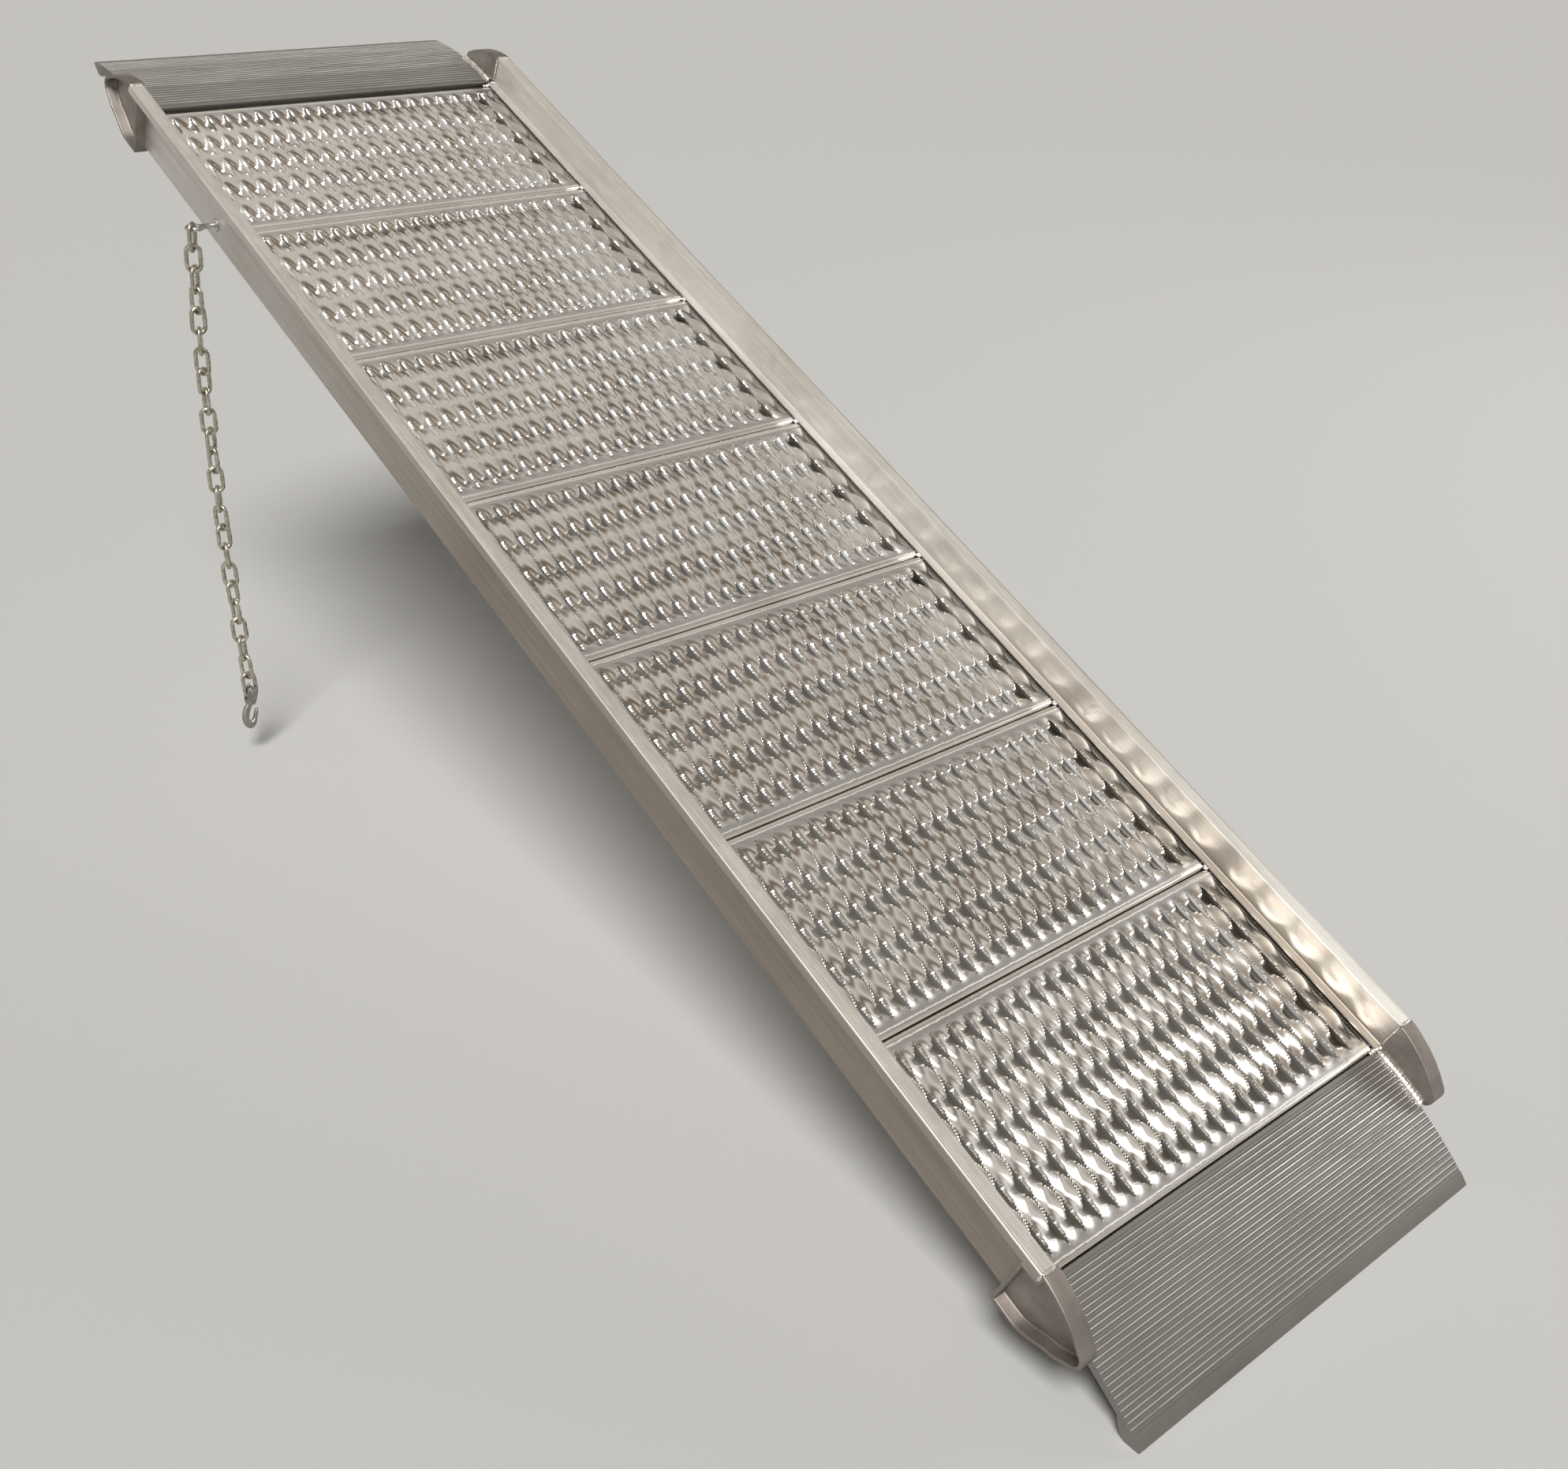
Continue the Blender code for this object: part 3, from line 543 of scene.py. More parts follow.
def lip_outline():
    """Lip section: ribs from the root to the toe, the toe, and back underneath."""
    top = [(0.0, lip_crown(0.0) - 0.8), (0.8, lip_crown(0.8))]
    for number in range(LIP_RIB_COUNT):
        start = LIP_RIB_START + number * LIP_RIB_PITCH
        for reach, drop in GROOVE_PROFILE:
            along = start + reach
            top.append((along, lip_crown(along) - drop * LIP_RIB_DEPTH))
    tip = lip_crown(TOE_START) - 7.0
    foot = math.tan(SLOPE)
    sole = (LIP_LENGTH - 1.0, tip - 3.2)
    heel = (sole[0] - 14.0, sole[1] - 14.0 * foot)
    toe = [(TOE_START - 0.6, lip_crown(TOE_START) + 0.1), (TOE_START + 1.0, lip_crown(TOE_START) - 0.5),
           (LIP_LENGTH - 0.5, tip + 0.8), (LIP_LENGTH, tip - 0.4), (LIP_LENGTH - 0.1, sole[1] + 1.0), sole,
           (heel[0] + 2.0, heel[1] + 2.0 * foot), heel, (heel[0] - 3.0, heel[1] - 0.5),
           (heel[0] - 10.0, heel[1] + 1.5), (heel[0] - 14.0, heel[1] + 4.0), (heel[0] - 18.0, heel[1] + 7.5)]
    flat_start, flat_end = 60.0, 138.0
    underside = [(flat_end, lip_crown(flat_end) - LIP_PLATE), (flat_start, lip_crown(flat_start) - LIP_PLATE),
                 (10.5, -LIP_PLATE), (6.5, -LIP_PLATE - 0.8), (4.8, -LIP_PLATE - 2.5),
                 (4.5, -LIP_PLATE - 4.0), (4.5, -28.0), (0.0, -28.0)]
    return top + toe + underside


UPPER_RISE = 5.0
UPPER_TILT = math.radians(3.0)
UPPER_SETBACK = 5.0
SEAM_GAP = 0.6


def upper_point(along, height):
    """The upper lip's profile points up the slope, a little raised."""
    u = -UPPER_SETBACK - along * math.cos(UPPER_TILT) + height * math.sin(UPPER_TILT)
    w = UPPER_RISE + along * math.sin(UPPER_TILT) + height * math.cos(UPPER_TILT)
    return u, w


def lower_point(along, height):
    """The lower lip's profile goes on down the slope."""
    return DECK_LENGTH + SEAM_GAP + along, height


lip_finish = Finish("dull_ribbed_aluminium")
lip_lines = lip_finish.noise(500.0, (1.0, 0.012, 1.0), detail=3.0)
lip_clouds = lip_finish.noise(7.0, (1.0, 0.5, 1.0), detail=6.0, rough=0.6)
lip_scars = lip_finish.noise(60.0, (1.0, 0.6, 1.0), detail=7.0, rough=0.75)
lip_tone = lip_finish.tones(lip_clouds, (0.3, (0.235, 0.225, 0.21)), (0.72, (0.35, 0.345, 0.33)))
lip_finish.colour(lip_finish.blend(lip_finish.remap(lip_scars, 0.66, 0.74, 0.0, 0.55), lip_tone,
                                   (0.66, 0.67, 0.68, 1.0)))
lip_finish.roughness(lip_finish.remap(lip_clouds, 0.3, 0.7, 0.46, 0.36))
lip_finish.bump(lip_lines, 0.18, 0.0006)
# Painted highlight: the rib crests get a brighter, glossier metal that draws a light line along each crest.
crest_highlight_finish = Finish("painted_crest_highlight")
crest_highlight_patches = crest_highlight_finish.noise(70.0, (1.0, 0.15, 1.0), detail=6.0, rough=0.7)
crest_highlight_finish.colour(crest_highlight_finish.tones(crest_highlight_patches, (0.32, (0.40, 0.40, 0.39)), (0.62, (0.86, 0.87, 0.87))))
crest_highlight_finish.roughness(crest_highlight_finish.remap(crest_highlight_patches, 0.3, 0.7, 0.48, 0.30))

crest_middles = [LIP_RIB_START + number * LIP_RIB_PITCH - CREST_SETBACK
                 for number in range(1, LIP_RIB_COUNT + 1)]
for word, point_of in (("upper", upper_point), ("lower", lower_point)):
    lip_shape = bmesh.new()
    section = [point_of(along, height) for along, height in lip_outline()]
    prism(lip_shape, section, lambda a, b: (a, -LIP_HALF_SPAN, b), (0.0, 2.0 * LIP_HALF_SPAN, 0.0))
    for face in lip_shape.faces:
        if len(face.verts) == 4 and face.calc_area() > 0.0:
            narrow = min(edge.calc_length() for edge in face.edges)
            middle = face.calc_center_median()
            rise = min(abs(point_of(along, lip_crown(along))[1] - middle.z)
                       + abs(point_of(along, 0.0)[0] - middle.x) for along in crest_middles)
            if narrow < CREST_WIDEST and rise < CREST_REACH:
                face.material_index = 1
    lip = finish_piece(f"ribbed_lip_{word}", lip_shape, lip_finish.material, "ramp", crease=24.0)
    # The crest faces carry the painted crest highlight as their second material.
    lip.data.materials.append(crest_highlight_finish.material)
    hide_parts(f"{word}_lip")


# ---- End castings ----
# Four sand-cast aluminium pans, open on their outer side. Each closes a rail's end, carries
# the end of a lip, and reaches back under the rail's flange, outside its web.
CASTING_INNER = 303.5
CASTING_FLOOR = 311.3
CASTING_RIM = 4.5
CASTING_BACK = 24.0
CASTING_NOSE = 87.0
CASTING_BOTTOM = -47.0
NOSE_RADIUS = 15.0
NOTCH_UNDER = 35.5
WEB_LAP = 307.5              # the part behind the rail's end stays inside the rail's web


def casting_outline():
    """Side view of a casting, reach measured outwards from the deck's end."""
    belly = [(8.0, 0.0), (14.0, 0.5), (22.0, 3.0), (32.0, 8.0), (42.0, 14.2), (52.0, 19.5), (60.0, 22.0)]
    bottom = [(-CASTING_BACK, CASTING_BOTTOM)] + [(a, CASTING_BOTTOM + b) for a, b in belly]
    nose = arc((CASTING_NOSE - NOSE_RADIUS, 4.0), NOSE_RADIUS, -62.0, 55.0, 14)
    top = [(66.0, 27.0), (54.0, 34.3), (38.0, 41.5), (22.0, 47.0), (10.0, 50.2), (SEAM_GAP, 51.2)]
    return bottom + nose + top + [(SEAM_GAP, NOTCH_UNDER), (-CASTING_BACK, NOTCH_UNDER)]


cast_finish = Finish("sand_cast_aluminium")
cast_grain = cast_finish.noise(420.0, detail=5.0, rough=0.65)
cast_clouds = cast_finish.noise(24.0, detail=5.0)
cast_finish.colour(cast_finish.tones(cast_clouds, (0.3, (0.22, 0.195, 0.175)), (0.7, (0.34, 0.31, 0.285))))
cast_finish.roughness(cast_finish.remap(cast_grain, 0.3, 0.7, 0.44, 0.58))
cast_finish.bump(cast_grain, 0.22, 0.0006)
cast_finish.bump(cast_clouds, 0.1, 0.002)

for end, origin, direction in (("upper", 0.0, -1.0), ("lower", DECK_LENGTH, 1.0)):
    for word, side in SIDES.items():
        pan = bmesh.new()
        prism(pan, casting_outline(), lambda a, b: (origin + direction * a, side * CASTING_INNER, b),
              (0.0, side * (RAIL_OUTER - CASTING_INNER), 0.0))
        bmesh.ops.recalc_face_normals(pan, faces=pan.faces)
        open_face = max(pan.faces, key=lambda face: side * face.calc_center_median().y)
        bmesh.ops.inset_region(pan, faces=[open_face], thickness=CASTING_RIM, use_even_offset=True)
        pocket = bmesh.ops.extrude_face_region(pan, geom=[open_face])
        floor = [item for item in pocket["geom"] if isinstance(item, bmesh.types.BMVert)]
        bmesh.ops.translate(pan, vec=(0.0, -side * (RAIL_OUTER - CASTING_FLOOR), 0.0), verts=floor)
        bmesh.ops.delete(pan, geom=[open_face], context="FACES_ONLY")
        bmesh.ops.recalc_face_normals(pan, faces=pan.faces)
        corners = [edge for edge in pan.edges if edge.calc_face_angle(0.0) > math.radians(28.0)]
        bmesh.ops.bevel(pan, geom=corners, offset=1.3, segments=3, profile=0.5, affect="EDGES",
                        material=-1, clamp_overlap=True)
        step = origin + direction * (SEAM_GAP - 0.2)
        for cut in (step, step - direction * 0.2):
            bmesh.ops.bisect_plane(pan, geom=pan.verts[:] + pan.edges[:] + pan.faces[:], dist=0.001,
                                   plane_co=(cut, 0.0, 0.0), plane_no=(1.0, 0.0, 0.0))
        for point in pan.verts:
            behind = direction * (point.co.x - step) < -0.1
            if behind and side * point.co.y < WEB_LAP:
                point.co.y = side * WEB_LAP
        casting = finish_piece(f"casting_{end}_{word}", pan, cast_finish.material, "ramp", crease=50.0)
        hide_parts(f"end_casting_{end}_{word}")


# ---- Weld beads ----
# The frame is put together with bright aluminium welds: a rippled bead along each lip's end,
# short ones where rail and casting meet, and tacks at the planks' corners under the ledges.
BEAD_PITCH = 5.4
BEAD_STEPS = 7               # cross sections to a ripple
LIP_BEAD = (1.5, 82.0)       # where the bead on a lip's end starts and stops
LIP_BEAD_RADIUS = 5.4


def tube(shape, path, across, radius_of, sides=12):
    """Lay a round or shaped bar along a path. Its ends close where the radius is nothing."""
    last = len(path) - 1
    closed = (path[0] - path[last]).length < 0.001
    made = bmesh.ops.create_grid(shape, x_segments=last, y_segments=sides, size=1.0)
    for point in made["verts"]:
        step = round((point.co.x + 1.0) / 2.0 * last)
        angle = math.radians(360.0) * round((point.co.y + 1.0) / 2.0 * sides) / sides
        before = path[step - 1] if step else (path[last - 1] if closed else path[0])
        after = path[step + 1] if step < last else (path[1] if closed else path[last])
        tangent = (after - before).normalized()
        sideways = tangent.cross(across).normalized()
        upwards = sideways.cross(tangent).normalized()
        wide, tall = radius_of(step / last, angle)
        point.co = path[step] + sideways * (wide * math.cos(angle)) + upwards * (tall * math.sin(angle))
    bmesh.ops.remove_doubles(shape, verts=shape.verts, dist=0.0005)


def bead(shape, start, end, off, radius, bow=None):
    """A rippled weld between two points, bulging towards off; bow bends the straight line."""
    start, end, off = Vector(start), Vector(end), Vector(off).normalized()
    length = (end - start).length
    ripples = max(1, round(length / BEAD_PITCH))
    count = ripples * BEAD_STEPS
    path = []
    for step in range(count + 1):
        part = step / count
        path.append(start.lerp(end, part) + (Vector(bow(part)) if bow else Vector((0.0, 0.0, 0.0))))

    def radius_of(part, angle):
        crown = math.sin(angle)
        phase = part * ripples - 0.45 * crown
        tooth = phase - math.floor(phase)
        wander = 0.93 + 0.07 * math.sin(part * ripples * 1.7 + 2.0 * start.y)
        ripple = (0.72 + 0.28 * math.sqrt(tooth)) * wander
        fade = min(1.0, 5.0 * part * ripples / 3.0, 5.0 * (1.0 - part) * ripples / 3.0)
        fade = math.sqrt(max(fade, 0.0))
        return radius * ripple * fade, radius * 0.72 * ripple * fade

    tube(shape, path, off, radius_of, sides=14)


def tack(shape, place, radius, squash=0.55):
    """A round blob of weld."""
    made = bmesh.ops.create_uvsphere(shape, u_segments=14, v_segments=8, radius=radius)
    bmesh.ops.scale(shape, vec=(1.0, 1.0, squash), verts=made["verts"])
    bmesh.ops.translate(shape, vec=place, verts=made["verts"])


weld_finish = Finish("bright_weld")
soot = weld_finish.noise(180.0, detail=4.0)
weld_finish.colour(weld_finish.tones(soot, (0.3, (0.72, 0.68, 0.62)), (0.6, (0.90, 0.885, 0.86))))
weld_finish.roughness(weld_finish.remap(soot, 0.3, 0.7, 0.20, 0.36))
weld_finish.bump(soot, 0.2, 0.0005)

for end, point_of, direction in (("upper", upper_point, -1.0), ("lower", lower_point, 1.0)):
    deck_end = 0.0 if end == "upper" else DECK_LENGTH
    for word, side in SIDES.items():
        weld = bmesh.new()

        def on_lip(along):
            """A point in the corner between the lip's end and the casting's wall."""
            reach, height = point_of(along, lip_crown(along))
            return Vector((reach, side * (LIP_HALF_SPAN + 0.4), height + 0.6))

        first, last = on_lip(LIP_BEAD[0]), on_lip(LIP_BEAD[1])
        bead(weld, first, last, (0.0, -side * 0.6, 1.0), LIP_BEAD_RADIUS,
             bow=lambda part: on_lip(LIP_BEAD[0] + (LIP_BEAD[1] - LIP_BEAD[0]) * part) - first.lerp(last, part))
        joint = deck_end + direction * 0.3
        bead(weld, (joint, side * (RAIL_INNER + 1.0), RAIL_TOP + 0.2),
             (joint, side * (RAIL_OUTER - 1.0), RAIL_TOP + 0.2), (0.0, 0.0, 1.0), 2.6)
        bead(weld, (joint, side * (RAIL_INNER - 1.6), LEDGE_TOP + 3.5),
             (joint, side * (RAIL_INNER - 1.6), RAIL_TOP - 2.0), (0.0, -side, 0.0), 1.7)
        bead(weld, (joint, side * (RAIL_OUTER - 0.6), RAIL_TOP - 2.0),
             (joint, side * (RAIL_OUTER - 0.6), RAIL_TOP - RAIL_LIP_DROP), (0.0, side, 0.0), 2.2)
        bead(weld, (deck_end - direction * 22.0, side * (RAIL_OUTER - 3.0), RAIL_TOP - RAIL_LIP_DROP - 0.6),
             (deck_end - direction * 1.0, side * (RAIL_OUTER - 3.0), RAIL_TOP - RAIL_LIP_DROP - 0.6),
             (0.0, side, -0.3), 2.0)
        for reach, across, height, size in ((-1.0, 300.5, 2.5, 4.6), (-1.5, 294.0, 1.2, 3.6),
                                            (-0.8, 288.5, 0.8, 2.8), (0.5, 304.5, 5.0, 3.4)):
            tack(weld, (deck_end + direction * (reach + 1.0), side * across, height), size)
        corner_weld = finish_piece(f"weld_{end}_{word}", weld, weld_finish.material, "ramp", crease=60.0)

for word, side in SIDES.items():
    tacks = bmesh.new()
    for number in range(1, PLANK_COUNT):
        seam = number * PLANK_PITCH
        for shift, across, size in ((-1.8, 297.0, 3.2), (1.6, 295.6, 2.9), (0.2, 293.2, 2.0)):
            tack(tacks, (seam + shift, side * across, 1.0), size)
    seam_tacks = finish_piece(f"seam_tacks_{word}", tacks, weld_finish.material, "ramp", crease=60.0)


# ---- Eye bolt ----
# A zinc-plated eye bolt holds the chain: its ring lies level, its shank passes through the
# left rail's web, and a washer and a nut clamp it there.
EYE_U = 260.0
EYE_W = -14.0
EYE_SHANK = 4.0
EYE_WIRE = EYE_SHANK - 0.6   # the ring is thinner than the shank, so that the first link swings
EYE_RING = 10.5
EYE_STANDOFF = 32.0
WASHER_RADIUS = 9.5
WASHER_THICKNESS = 1.8
NUT_FLATS = 12.7
NUT_THICKNESS = 6.0
CLEARANCE = 0.3
THREAD_PITCH = 1.25
THREAD_DEPTH = 0.75
THREAD_START = 14.0
SHANK_STEPS = 160

zinc_finish = Finish("zinc_plate")
zinc_bloom = zinc_finish.noise(160.0, detail=5.0)
zinc_finish.colour(zinc_finish.tones(zinc_bloom, (0.3, (0.50, 0.50, 0.48)), (0.7, (0.70, 0.70, 0.69))))
zinc_finish.roughness(zinc_finish.remap(zinc_bloom, 0.3, 0.7, 0.22, 0.42))
zinc_finish.bump(zinc_bloom, 0.08, 0.0003)

ring_centre = Vector((EYE_U, -RAIL_FACE - EYE_STANDOFF, EYE_W))
LEVEL = (RAMP.to_3x3().inverted() @ Vector((0.0, 0.0, 1.0))).normalized()
ring_side = Vector((0.0, 1.0, 0.0))
ring_ahead = ring_side.cross(LEVEL)
bolt = bmesh.new()
ring_path = [ring_centre + EYE_RING * (ring_side * math.cos(turn) + ring_ahead * math.sin(turn))
             for turn in [math.radians(360.0) * step / 48 for step in range(49)]]
tube(bolt, ring_path, LEVEL, lambda part, angle: (EYE_WIRE, EYE_WIRE), sides=16)
shank_start = ring_centre.y + EYE_RING - 1.0
shank_end = -RAIL_INNER + NUT_THICKNESS + 4.0
shank_path = [Vector((EYE_U, shank_start + (shank_end - shank_start) * step / SHANK_STEPS, EYE_W))
              for step in range(SHANK_STEPS + 1)]


def shank_radius(part, angle):
    """Plain near the ring, threaded for the rest, closed at both ends."""
    if part in (0.0, 1.0):
        return 0.0, 0.0
    along = part * (shank_end - shank_start)
    groove = 0.0
    if along > THREAD_START:
        turn = along / THREAD_PITCH + angle / math.radians(360.0)
        groove = THREAD_DEPTH * abs(2.0 * (turn - math.floor(turn)) - 1.0)
    return EYE_SHANK - groove, EYE_SHANK - groove


tube(bolt, shank_path, Vector((0.0, 0.0, 1.0)), shank_radius, sides=20)
eye = finish_piece("eye_bolt_plated", bolt, zinc_finish.material, "ramp", crease=40.0)
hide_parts("eye_bolt")


def collar(shape, start, end, outer, sides, bevel):
    """A washer or nut round the bolt, between two distances from the centre line."""
    made = bmesh.ops.create_cone(shape, cap_ends=True, segments=sides, radius1=outer, radius2=outer,
                                 depth=abs(end - start))
    bmesh.ops.rotate(shape, cent=(0.0, 0.0, 0.0), verts=made["verts"],
                     matrix=Matrix.Rotation(math.radians(90.0), 3, "X"))
    bmesh.ops.translate(shape, vec=(EYE_U, (start + end) / 2.0, EYE_W), verts=made["verts"])
    rims = [edge for edge in shape.edges if len(edge.link_faces[0].verts) != len(edge.link_faces[1].verts)]
    bmesh.ops.bevel(shape, geom=rims, offset=bevel, segments=3, profile=0.5, affect="EDGES", material=-1)


washer = bmesh.new()
collar(washer, -RAIL_FACE - CLEARANCE - WASHER_THICKNESS, -RAIL_FACE - CLEARANCE, WASHER_RADIUS, 40, 0.35)
washer = finish_piece("washer_plated", washer, zinc_finish.material, "ramp", crease=35.0)
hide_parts("eye_bolt_washer")
nut = bmesh.new()
collar(nut, -RAIL_INNER + CLEARANCE, -RAIL_INNER + CLEARANCE + NUT_THICKNESS,
       NUT_FLATS / math.sqrt(3.0), 6, 0.7)
nut = finish_piece("nut_plated", nut, zinc_finish.material, "ramp", crease=35.0)
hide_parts("eye_bolt_nut")


# ---- Safety chain ----
# Twenty-four links of round steel wire, bent to an oval, butt-welded in the middle of one leg
# and plated. Each one takes its place and its turn from the frame's own link.
LINK_COUNT = 24
LINK_WIRE = 6.4
LINK_INNER_WIDTH = 13.0
LINK_INNER_LENGTH = 32.0
LINK_BEND = (LINK_INNER_WIDTH + LINK_WIRE) / 2.0
LINK_LEG = (LINK_INNER_LENGTH + LINK_WIRE) / 2.0 - LINK_BEND
WELD_SWELL = 0.13
WELD_LENGTH = 2.6

chain_finish = Finish("plated_chain_steel")
chain_bloom = chain_finish.noise(150.0, detail=5.0)
chain_spots = chain_finish.noise(600.0, detail=3.0)
chain_tone = chain_finish.tones(chain_bloom, (0.28, (0.34, 0.31, 0.24)), (0.5, (0.50, 0.475, 0.39)),
                                (0.72, (0.66, 0.64, 0.57)))
chain_finish.colour(chain_tone)
chain_finish.roughness(chain_finish.remap(chain_bloom, 0.3, 0.7, 0.20, 0.40))
chain_finish.bump(chain_spots, 0.12, 0.0003)


def link_place(name):
    """Centre and axes (width, thickness, length) of a link, from how its points spread."""
    points = np.array([corner.co[:] for corner in frame["nodes"][name].data.vertices])
    middle = points.mean(axis=0)
    axes = np.linalg.eigh(np.cov((points - middle).T))[1]
    wide, long = Vector(axes[:, 1]), Vector(axes[:, 2])
    if long.z < 0.0:
        long.negate()
    if wide.y < 0.0:
        wide.negate()
    thin = long.cross(wide)
    place = Matrix((wide, thin, long)).transposed().to_4x4()
    return Matrix.Translation(middle) @ place @ Matrix.Diagonal((0.001, 0.001, 0.001, 1.0))


leg_stops = (-1.0, -0.5, -0.28, -0.18, -0.09, 0.0, 0.09, 0.18, 0.28, 0.5, 1.0)
oval = ([(LINK_BEND, LINK_LEG * stop) for stop in leg_stops]
        + arc((0.0, LINK_LEG), LINK_BEND, 0.0, 180.0, 16)[1:]
        + [(-LINK_BEND, -LINK_LEG * stop) for stop in leg_stops[1:]]
        + arc((0.0, -LINK_LEG), LINK_BEND, 180.0, 360.0, 16)[1:])
link_path = [Vector((across, 0.0, height)) for across, height in oval]


def link_radius(part, angle):
    """Round wire with a low collar at the butt weld."""
    across, height = oval[round(part * (len(oval) - 1))]
    near = max(0.0, 1.0 - (height / WELD_LENGTH) ** 2) if across > 0.0 else 0.0
    radius = LINK_WIRE / 2.0 * (1.0 + WELD_SWELL * near)
    return radius, radius


for number in range(1, LINK_COUNT + 1):
    node = f"chain_link_{number:02d}"
    wire = bmesh.new()
    tube(wire, link_path, Vector((0.0, 1.0, 0.0)), link_radius, sides=14)
    link = finish_piece(f"welded_link_{number:02d}", wire, chain_finish.material, node,
                        place=link_place(node), crease=60.0)
    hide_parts(node)


# ---- Grab hook ----
# A drop-forged clevis hook: a bar that thickens in its bend and tapers to the bill, and two
# ears that hold a headed pin through the last link, kept in by a cotter.
PIN_RADIUS = 3.5
PIN_HEAD_RADIUS = 5.6
EAR_RADIUS = 8.6
EAR_THICKNESS = 4.0
EAR_GAP = 8.4
EAR_OUTER = EAR_GAP / 2.0 + EAR_THICKNESS
HOOK_TILT = math.radians(15.0)
HOOK_HALF_THICKNESS = 4.5
COTTER_WIRE = 0.9
COTTER_PLACE = EAR_OUTER + 3.2

swing = next(joint for joint in frame["joints"] if joint["child"] == "hook")
pin_centre = Vector(swing["pos_m"])
pin_axis = Vector(swing["axis"]).normalized()
last_link = link_place(f"chain_link_{LINK_COUNT:02d}").to_3x3()
hook_down = Matrix.Rotation(HOOK_TILT, 3, pin_axis) @ -(last_link @ Vector((0.0, 0.0, 1.0))).normalized()
hook_side = hook_down.cross(pin_axis)
HOOK = (Matrix.Translation(pin_centre) @ Matrix((hook_side, pin_axis, -hook_down)).transposed().to_4x4()
        @ Matrix.Diagonal((0.001, 0.001, 0.001, 1.0)))

forged_finish = Finish("drop_forged_steel")
scale_marks = forged_finish.noise(300.0, detail=6.0, rough=0.7)
forged_clouds = forged_finish.noise(90.0, detail=4.0)
forged_finish.colour(forged_finish.tones(forged_clouds, (0.3, (0.25, 0.24, 0.22)),
                                         (0.7, (0.42, 0.41, 0.385))))
forged_finish.roughness(forged_finish.remap(scale_marks, 0.3, 0.7, 0.38, 0.58))
forged_finish.bump(scale_marks, 0.25, 0.0005)

# Middle of the bar (across, height) and half its width, from the clevis round to the bill.
HOOK_BAR = ((0.0, -13.0, 5.6), (-0.6, -18.0, 5.2), (-2.2, -23.5, 4.8), (-4.4, -30.0, 5.2),
            (-5.8, -37.5, 5.6), (-5.5, -45.0, 5.5), (-3.4, -50.6, 5.6), (0.2, -54.4, 6.2),
            (4.2, -55.6, 6.4), (7.8, -52.4, 5.2), (10.2, -46.0, 3.5), (11.2, -38.5, 3.3),
            (11.8, -31.5, 2.7), (11.9, -28.6, 1.8), (11.9, -27.3, 0.0))


def smooth_row(row, parts):
    """Points on a smooth curve through a row of numbers tuples, parts to each stretch."""
    out = []
    for index in range(len(row) - 1):
        before = row[max(index - 1, 0)]
        start, end = row[index], row[index + 1]
        after = row[min(index + 2, len(row) - 1)]
        for part in range(parts):
            t = part / parts
            out.append(tuple(
                0.5 * (2.0 * s + (e - b) * t + (2.0 * b - 5.0 * s + 4.0 * e - a) * t * t
                       + (3.0 * s - b - 3.0 * e + a) * t ** 3)
                for b, s, e, a in zip(before, start, end, after)))
    return out + [tuple(row[-1])]


bar = smooth_row(HOOK_BAR, 4)


def bar_radius(part, angle):
    """A flattened, square-shouldered section."""
    half = max(bar[round(part * (len(bar) - 1))][2], 0.0) if 0.0 < part < 1.0 else 0.0
    thick = min(HOOK_HALF_THICKNESS, half * 1.15)
    square = 1.0 / (abs(math.cos(angle)) ** 3 + abs(math.sin(angle)) ** 3) ** (1.0 / 3.0)
    return half * square, thick * square


forging = bmesh.new()
tube(forging, [Vector((across, 0.0, height)) for across, height, half in bar], Vector((0.0, 1.0, 0.0)),
     bar_radius, sides=20)


def forged_plate(shape, outline, near, far, bevel):
    """A flat part of the forging with rounded edges, between two distances along the pin."""
    part = bmesh.new()
    prism(part, outline, lambda a, b: (a, near, b), (0.0, far - near, 0.0))
    bmesh.ops.recalc_face_normals(part, faces=part.faces)
    sharp = [edge for edge in part.edges if edge.calc_face_angle(0.0) > math.radians(40.0)]
    bmesh.ops.bevel(part, geom=sharp, offset=bevel, segments=3, profile=0.5, affect="EDGES", material=-1)
    data = bpy.data.meshes.new("forged_plate")
    part.to_mesh(data)
    part.free()
    shape.from_mesh(data)
    bpy.data.meshes.remove(data)


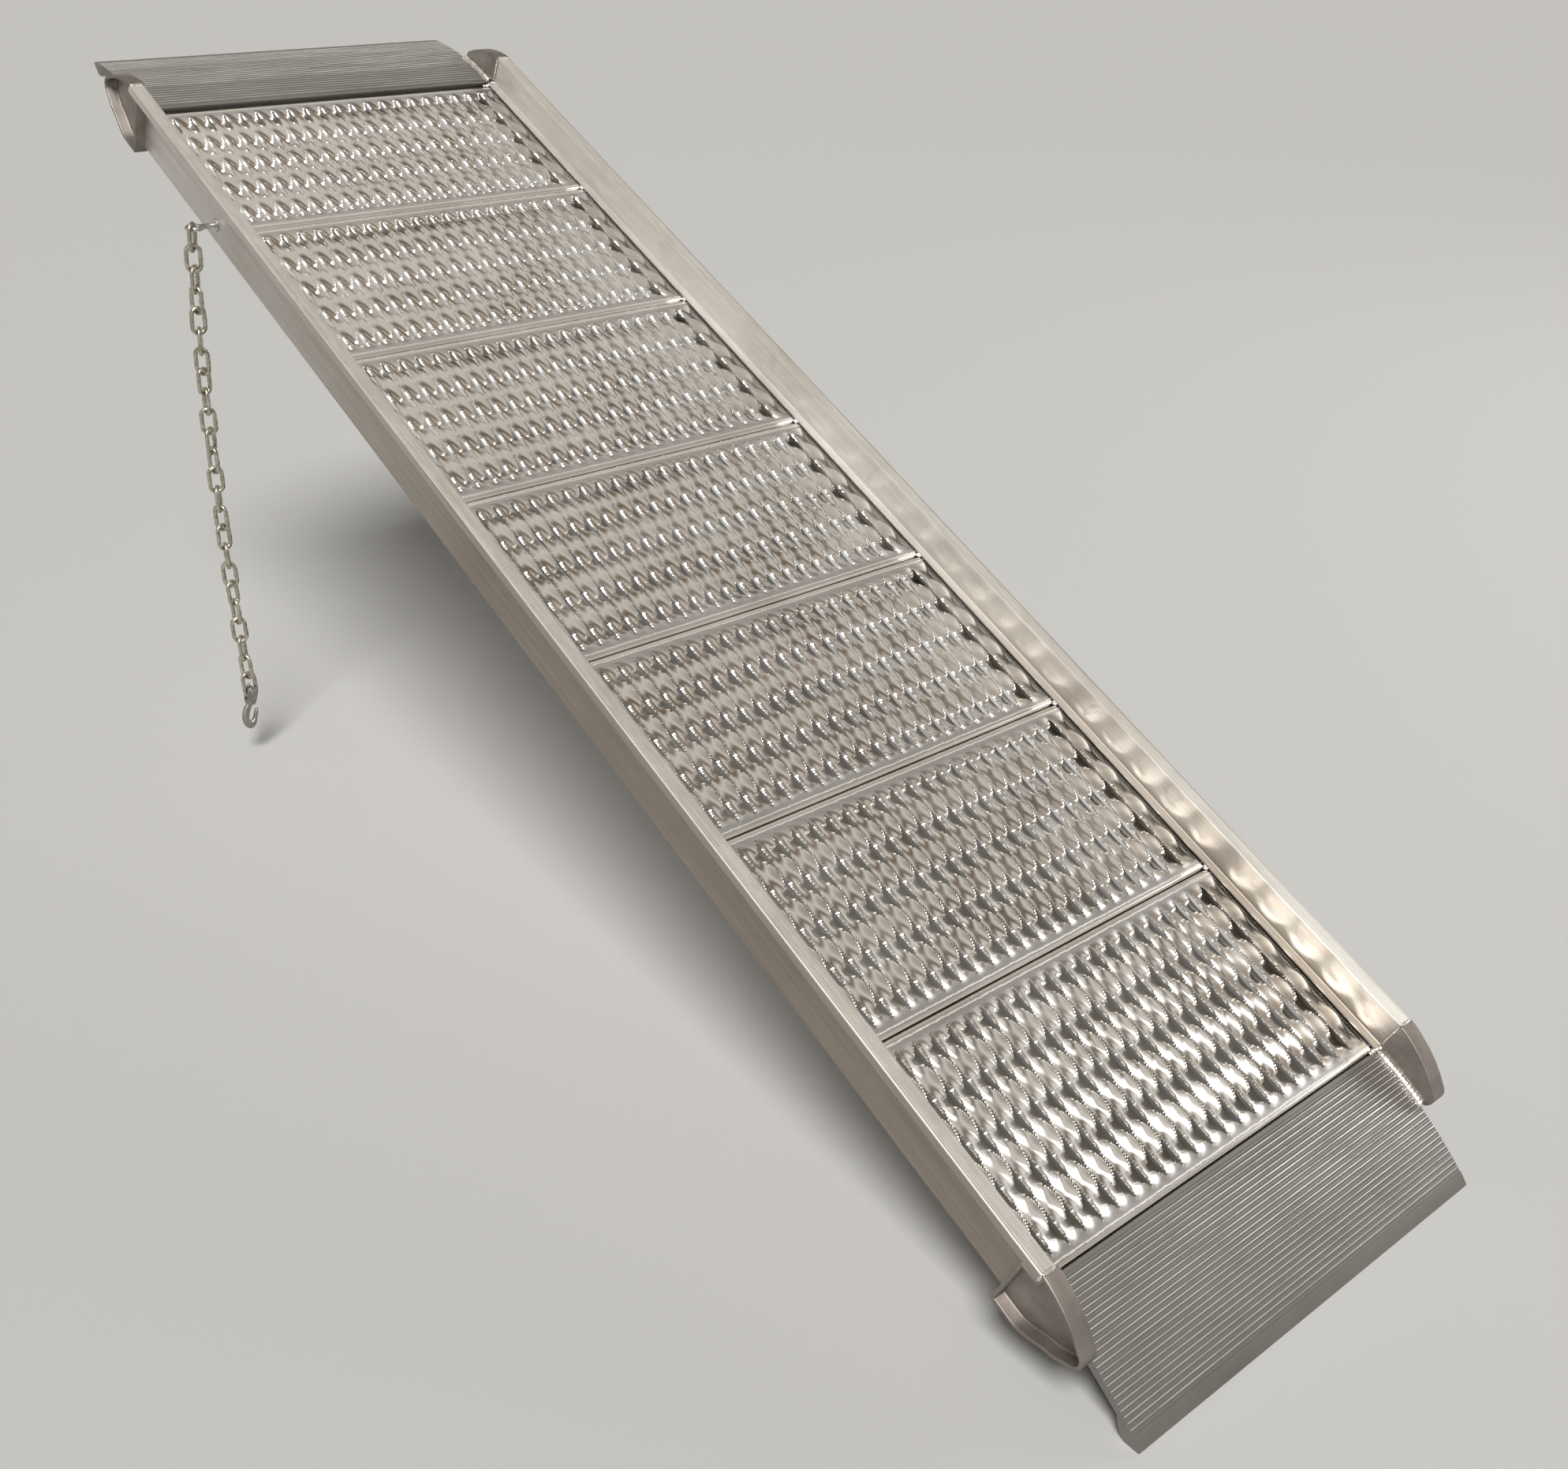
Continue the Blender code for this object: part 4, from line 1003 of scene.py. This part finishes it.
ear = arc((0.0, 0.0), EAR_RADIUS, 0.0, 180.0, 20) + [(-EAR_RADIUS, -6.0), (-7.0, -16.5), (7.0, -16.5),
                                                    (EAR_RADIUS, -6.0)]
bridge = [(7.8, -13.6), (-7.8, -13.6), (-6.6, -18.5), (-5.0, -21.0), (5.0, -21.0), (6.6, -18.5)]
for face in (-1.0, 1.0):
    forged_plate(forging, ear, *sorted((face * EAR_GAP / 2.0, face * EAR_OUTER)), 1.0)
forged_plate(forging, bridge, -EAR_OUTER + 0.3, EAR_OUTER - 0.3, 1.4)
hook = finish_piece("forged_hook", forging, forged_finish.material, "hook", place=HOOK, crease=45.0)
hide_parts("grab_hook")

# The pin's outline along its axis: distance from the middle and radius.
PIN_OUTLINE = ((-EAR_OUTER - 2.7, 0.0), (-EAR_OUTER - 2.7, PIN_HEAD_RADIUS - 1.2),
               (-EAR_OUTER - 2.0, PIN_HEAD_RADIUS - 0.2), (-EAR_OUTER - 1.2, PIN_HEAD_RADIUS),
               (-EAR_OUTER - 0.3, PIN_HEAD_RADIUS), (-EAR_OUTER - 0.3, PIN_RADIUS),
               (EAR_OUTER + 5.4, PIN_RADIUS), (EAR_OUTER + 6.0, PIN_RADIUS - 0.6), (EAR_OUTER + 6.0, 0.0))
pin = bmesh.new()
tube(pin, [Vector((0.0, place, 0.0)) for place, radius in PIN_OUTLINE], Vector((0.0, 0.0, 1.0)),
     lambda part, angle: (PIN_OUTLINE[round(part * (len(PIN_OUTLINE) - 1))][1],) * 2, sides=28)
pin = finish_piece("headed_pin", pin, forged_finish.material, "hook", place=HOOK, crease=40.0)
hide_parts("clevis_pin")

cotter_bow = arc((0.0, 8.0), 2.2, 250.0, -50.0, 18)
cotter_line = [(0.0, -7.5), (0.0, -7.4), (0.0, -PIN_RADIUS), (0.0, PIN_RADIUS), (0.0, 5.0)] + cotter_bow
cotter_line += [(cotter_bow[-1][0] + 0.05, cotter_bow[-1][1] - 0.05)]
cotter_path = [Vector((across, COTTER_PLACE, height)) for across, height in cotter_line]
split_pin = bmesh.new()
tube(split_pin, cotter_path, Vector((0.0, 1.0, 0.0)),
     lambda part, angle: (0.0, 0.0) if part in (0.0, 1.0) else (COTTER_WIRE, COTTER_WIRE), sides=10)
split_pin = finish_piece("split_pin", split_pin, zinc_finish.material, "hook", place=HOOK, crease=50.0)
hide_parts("cotter_pin")
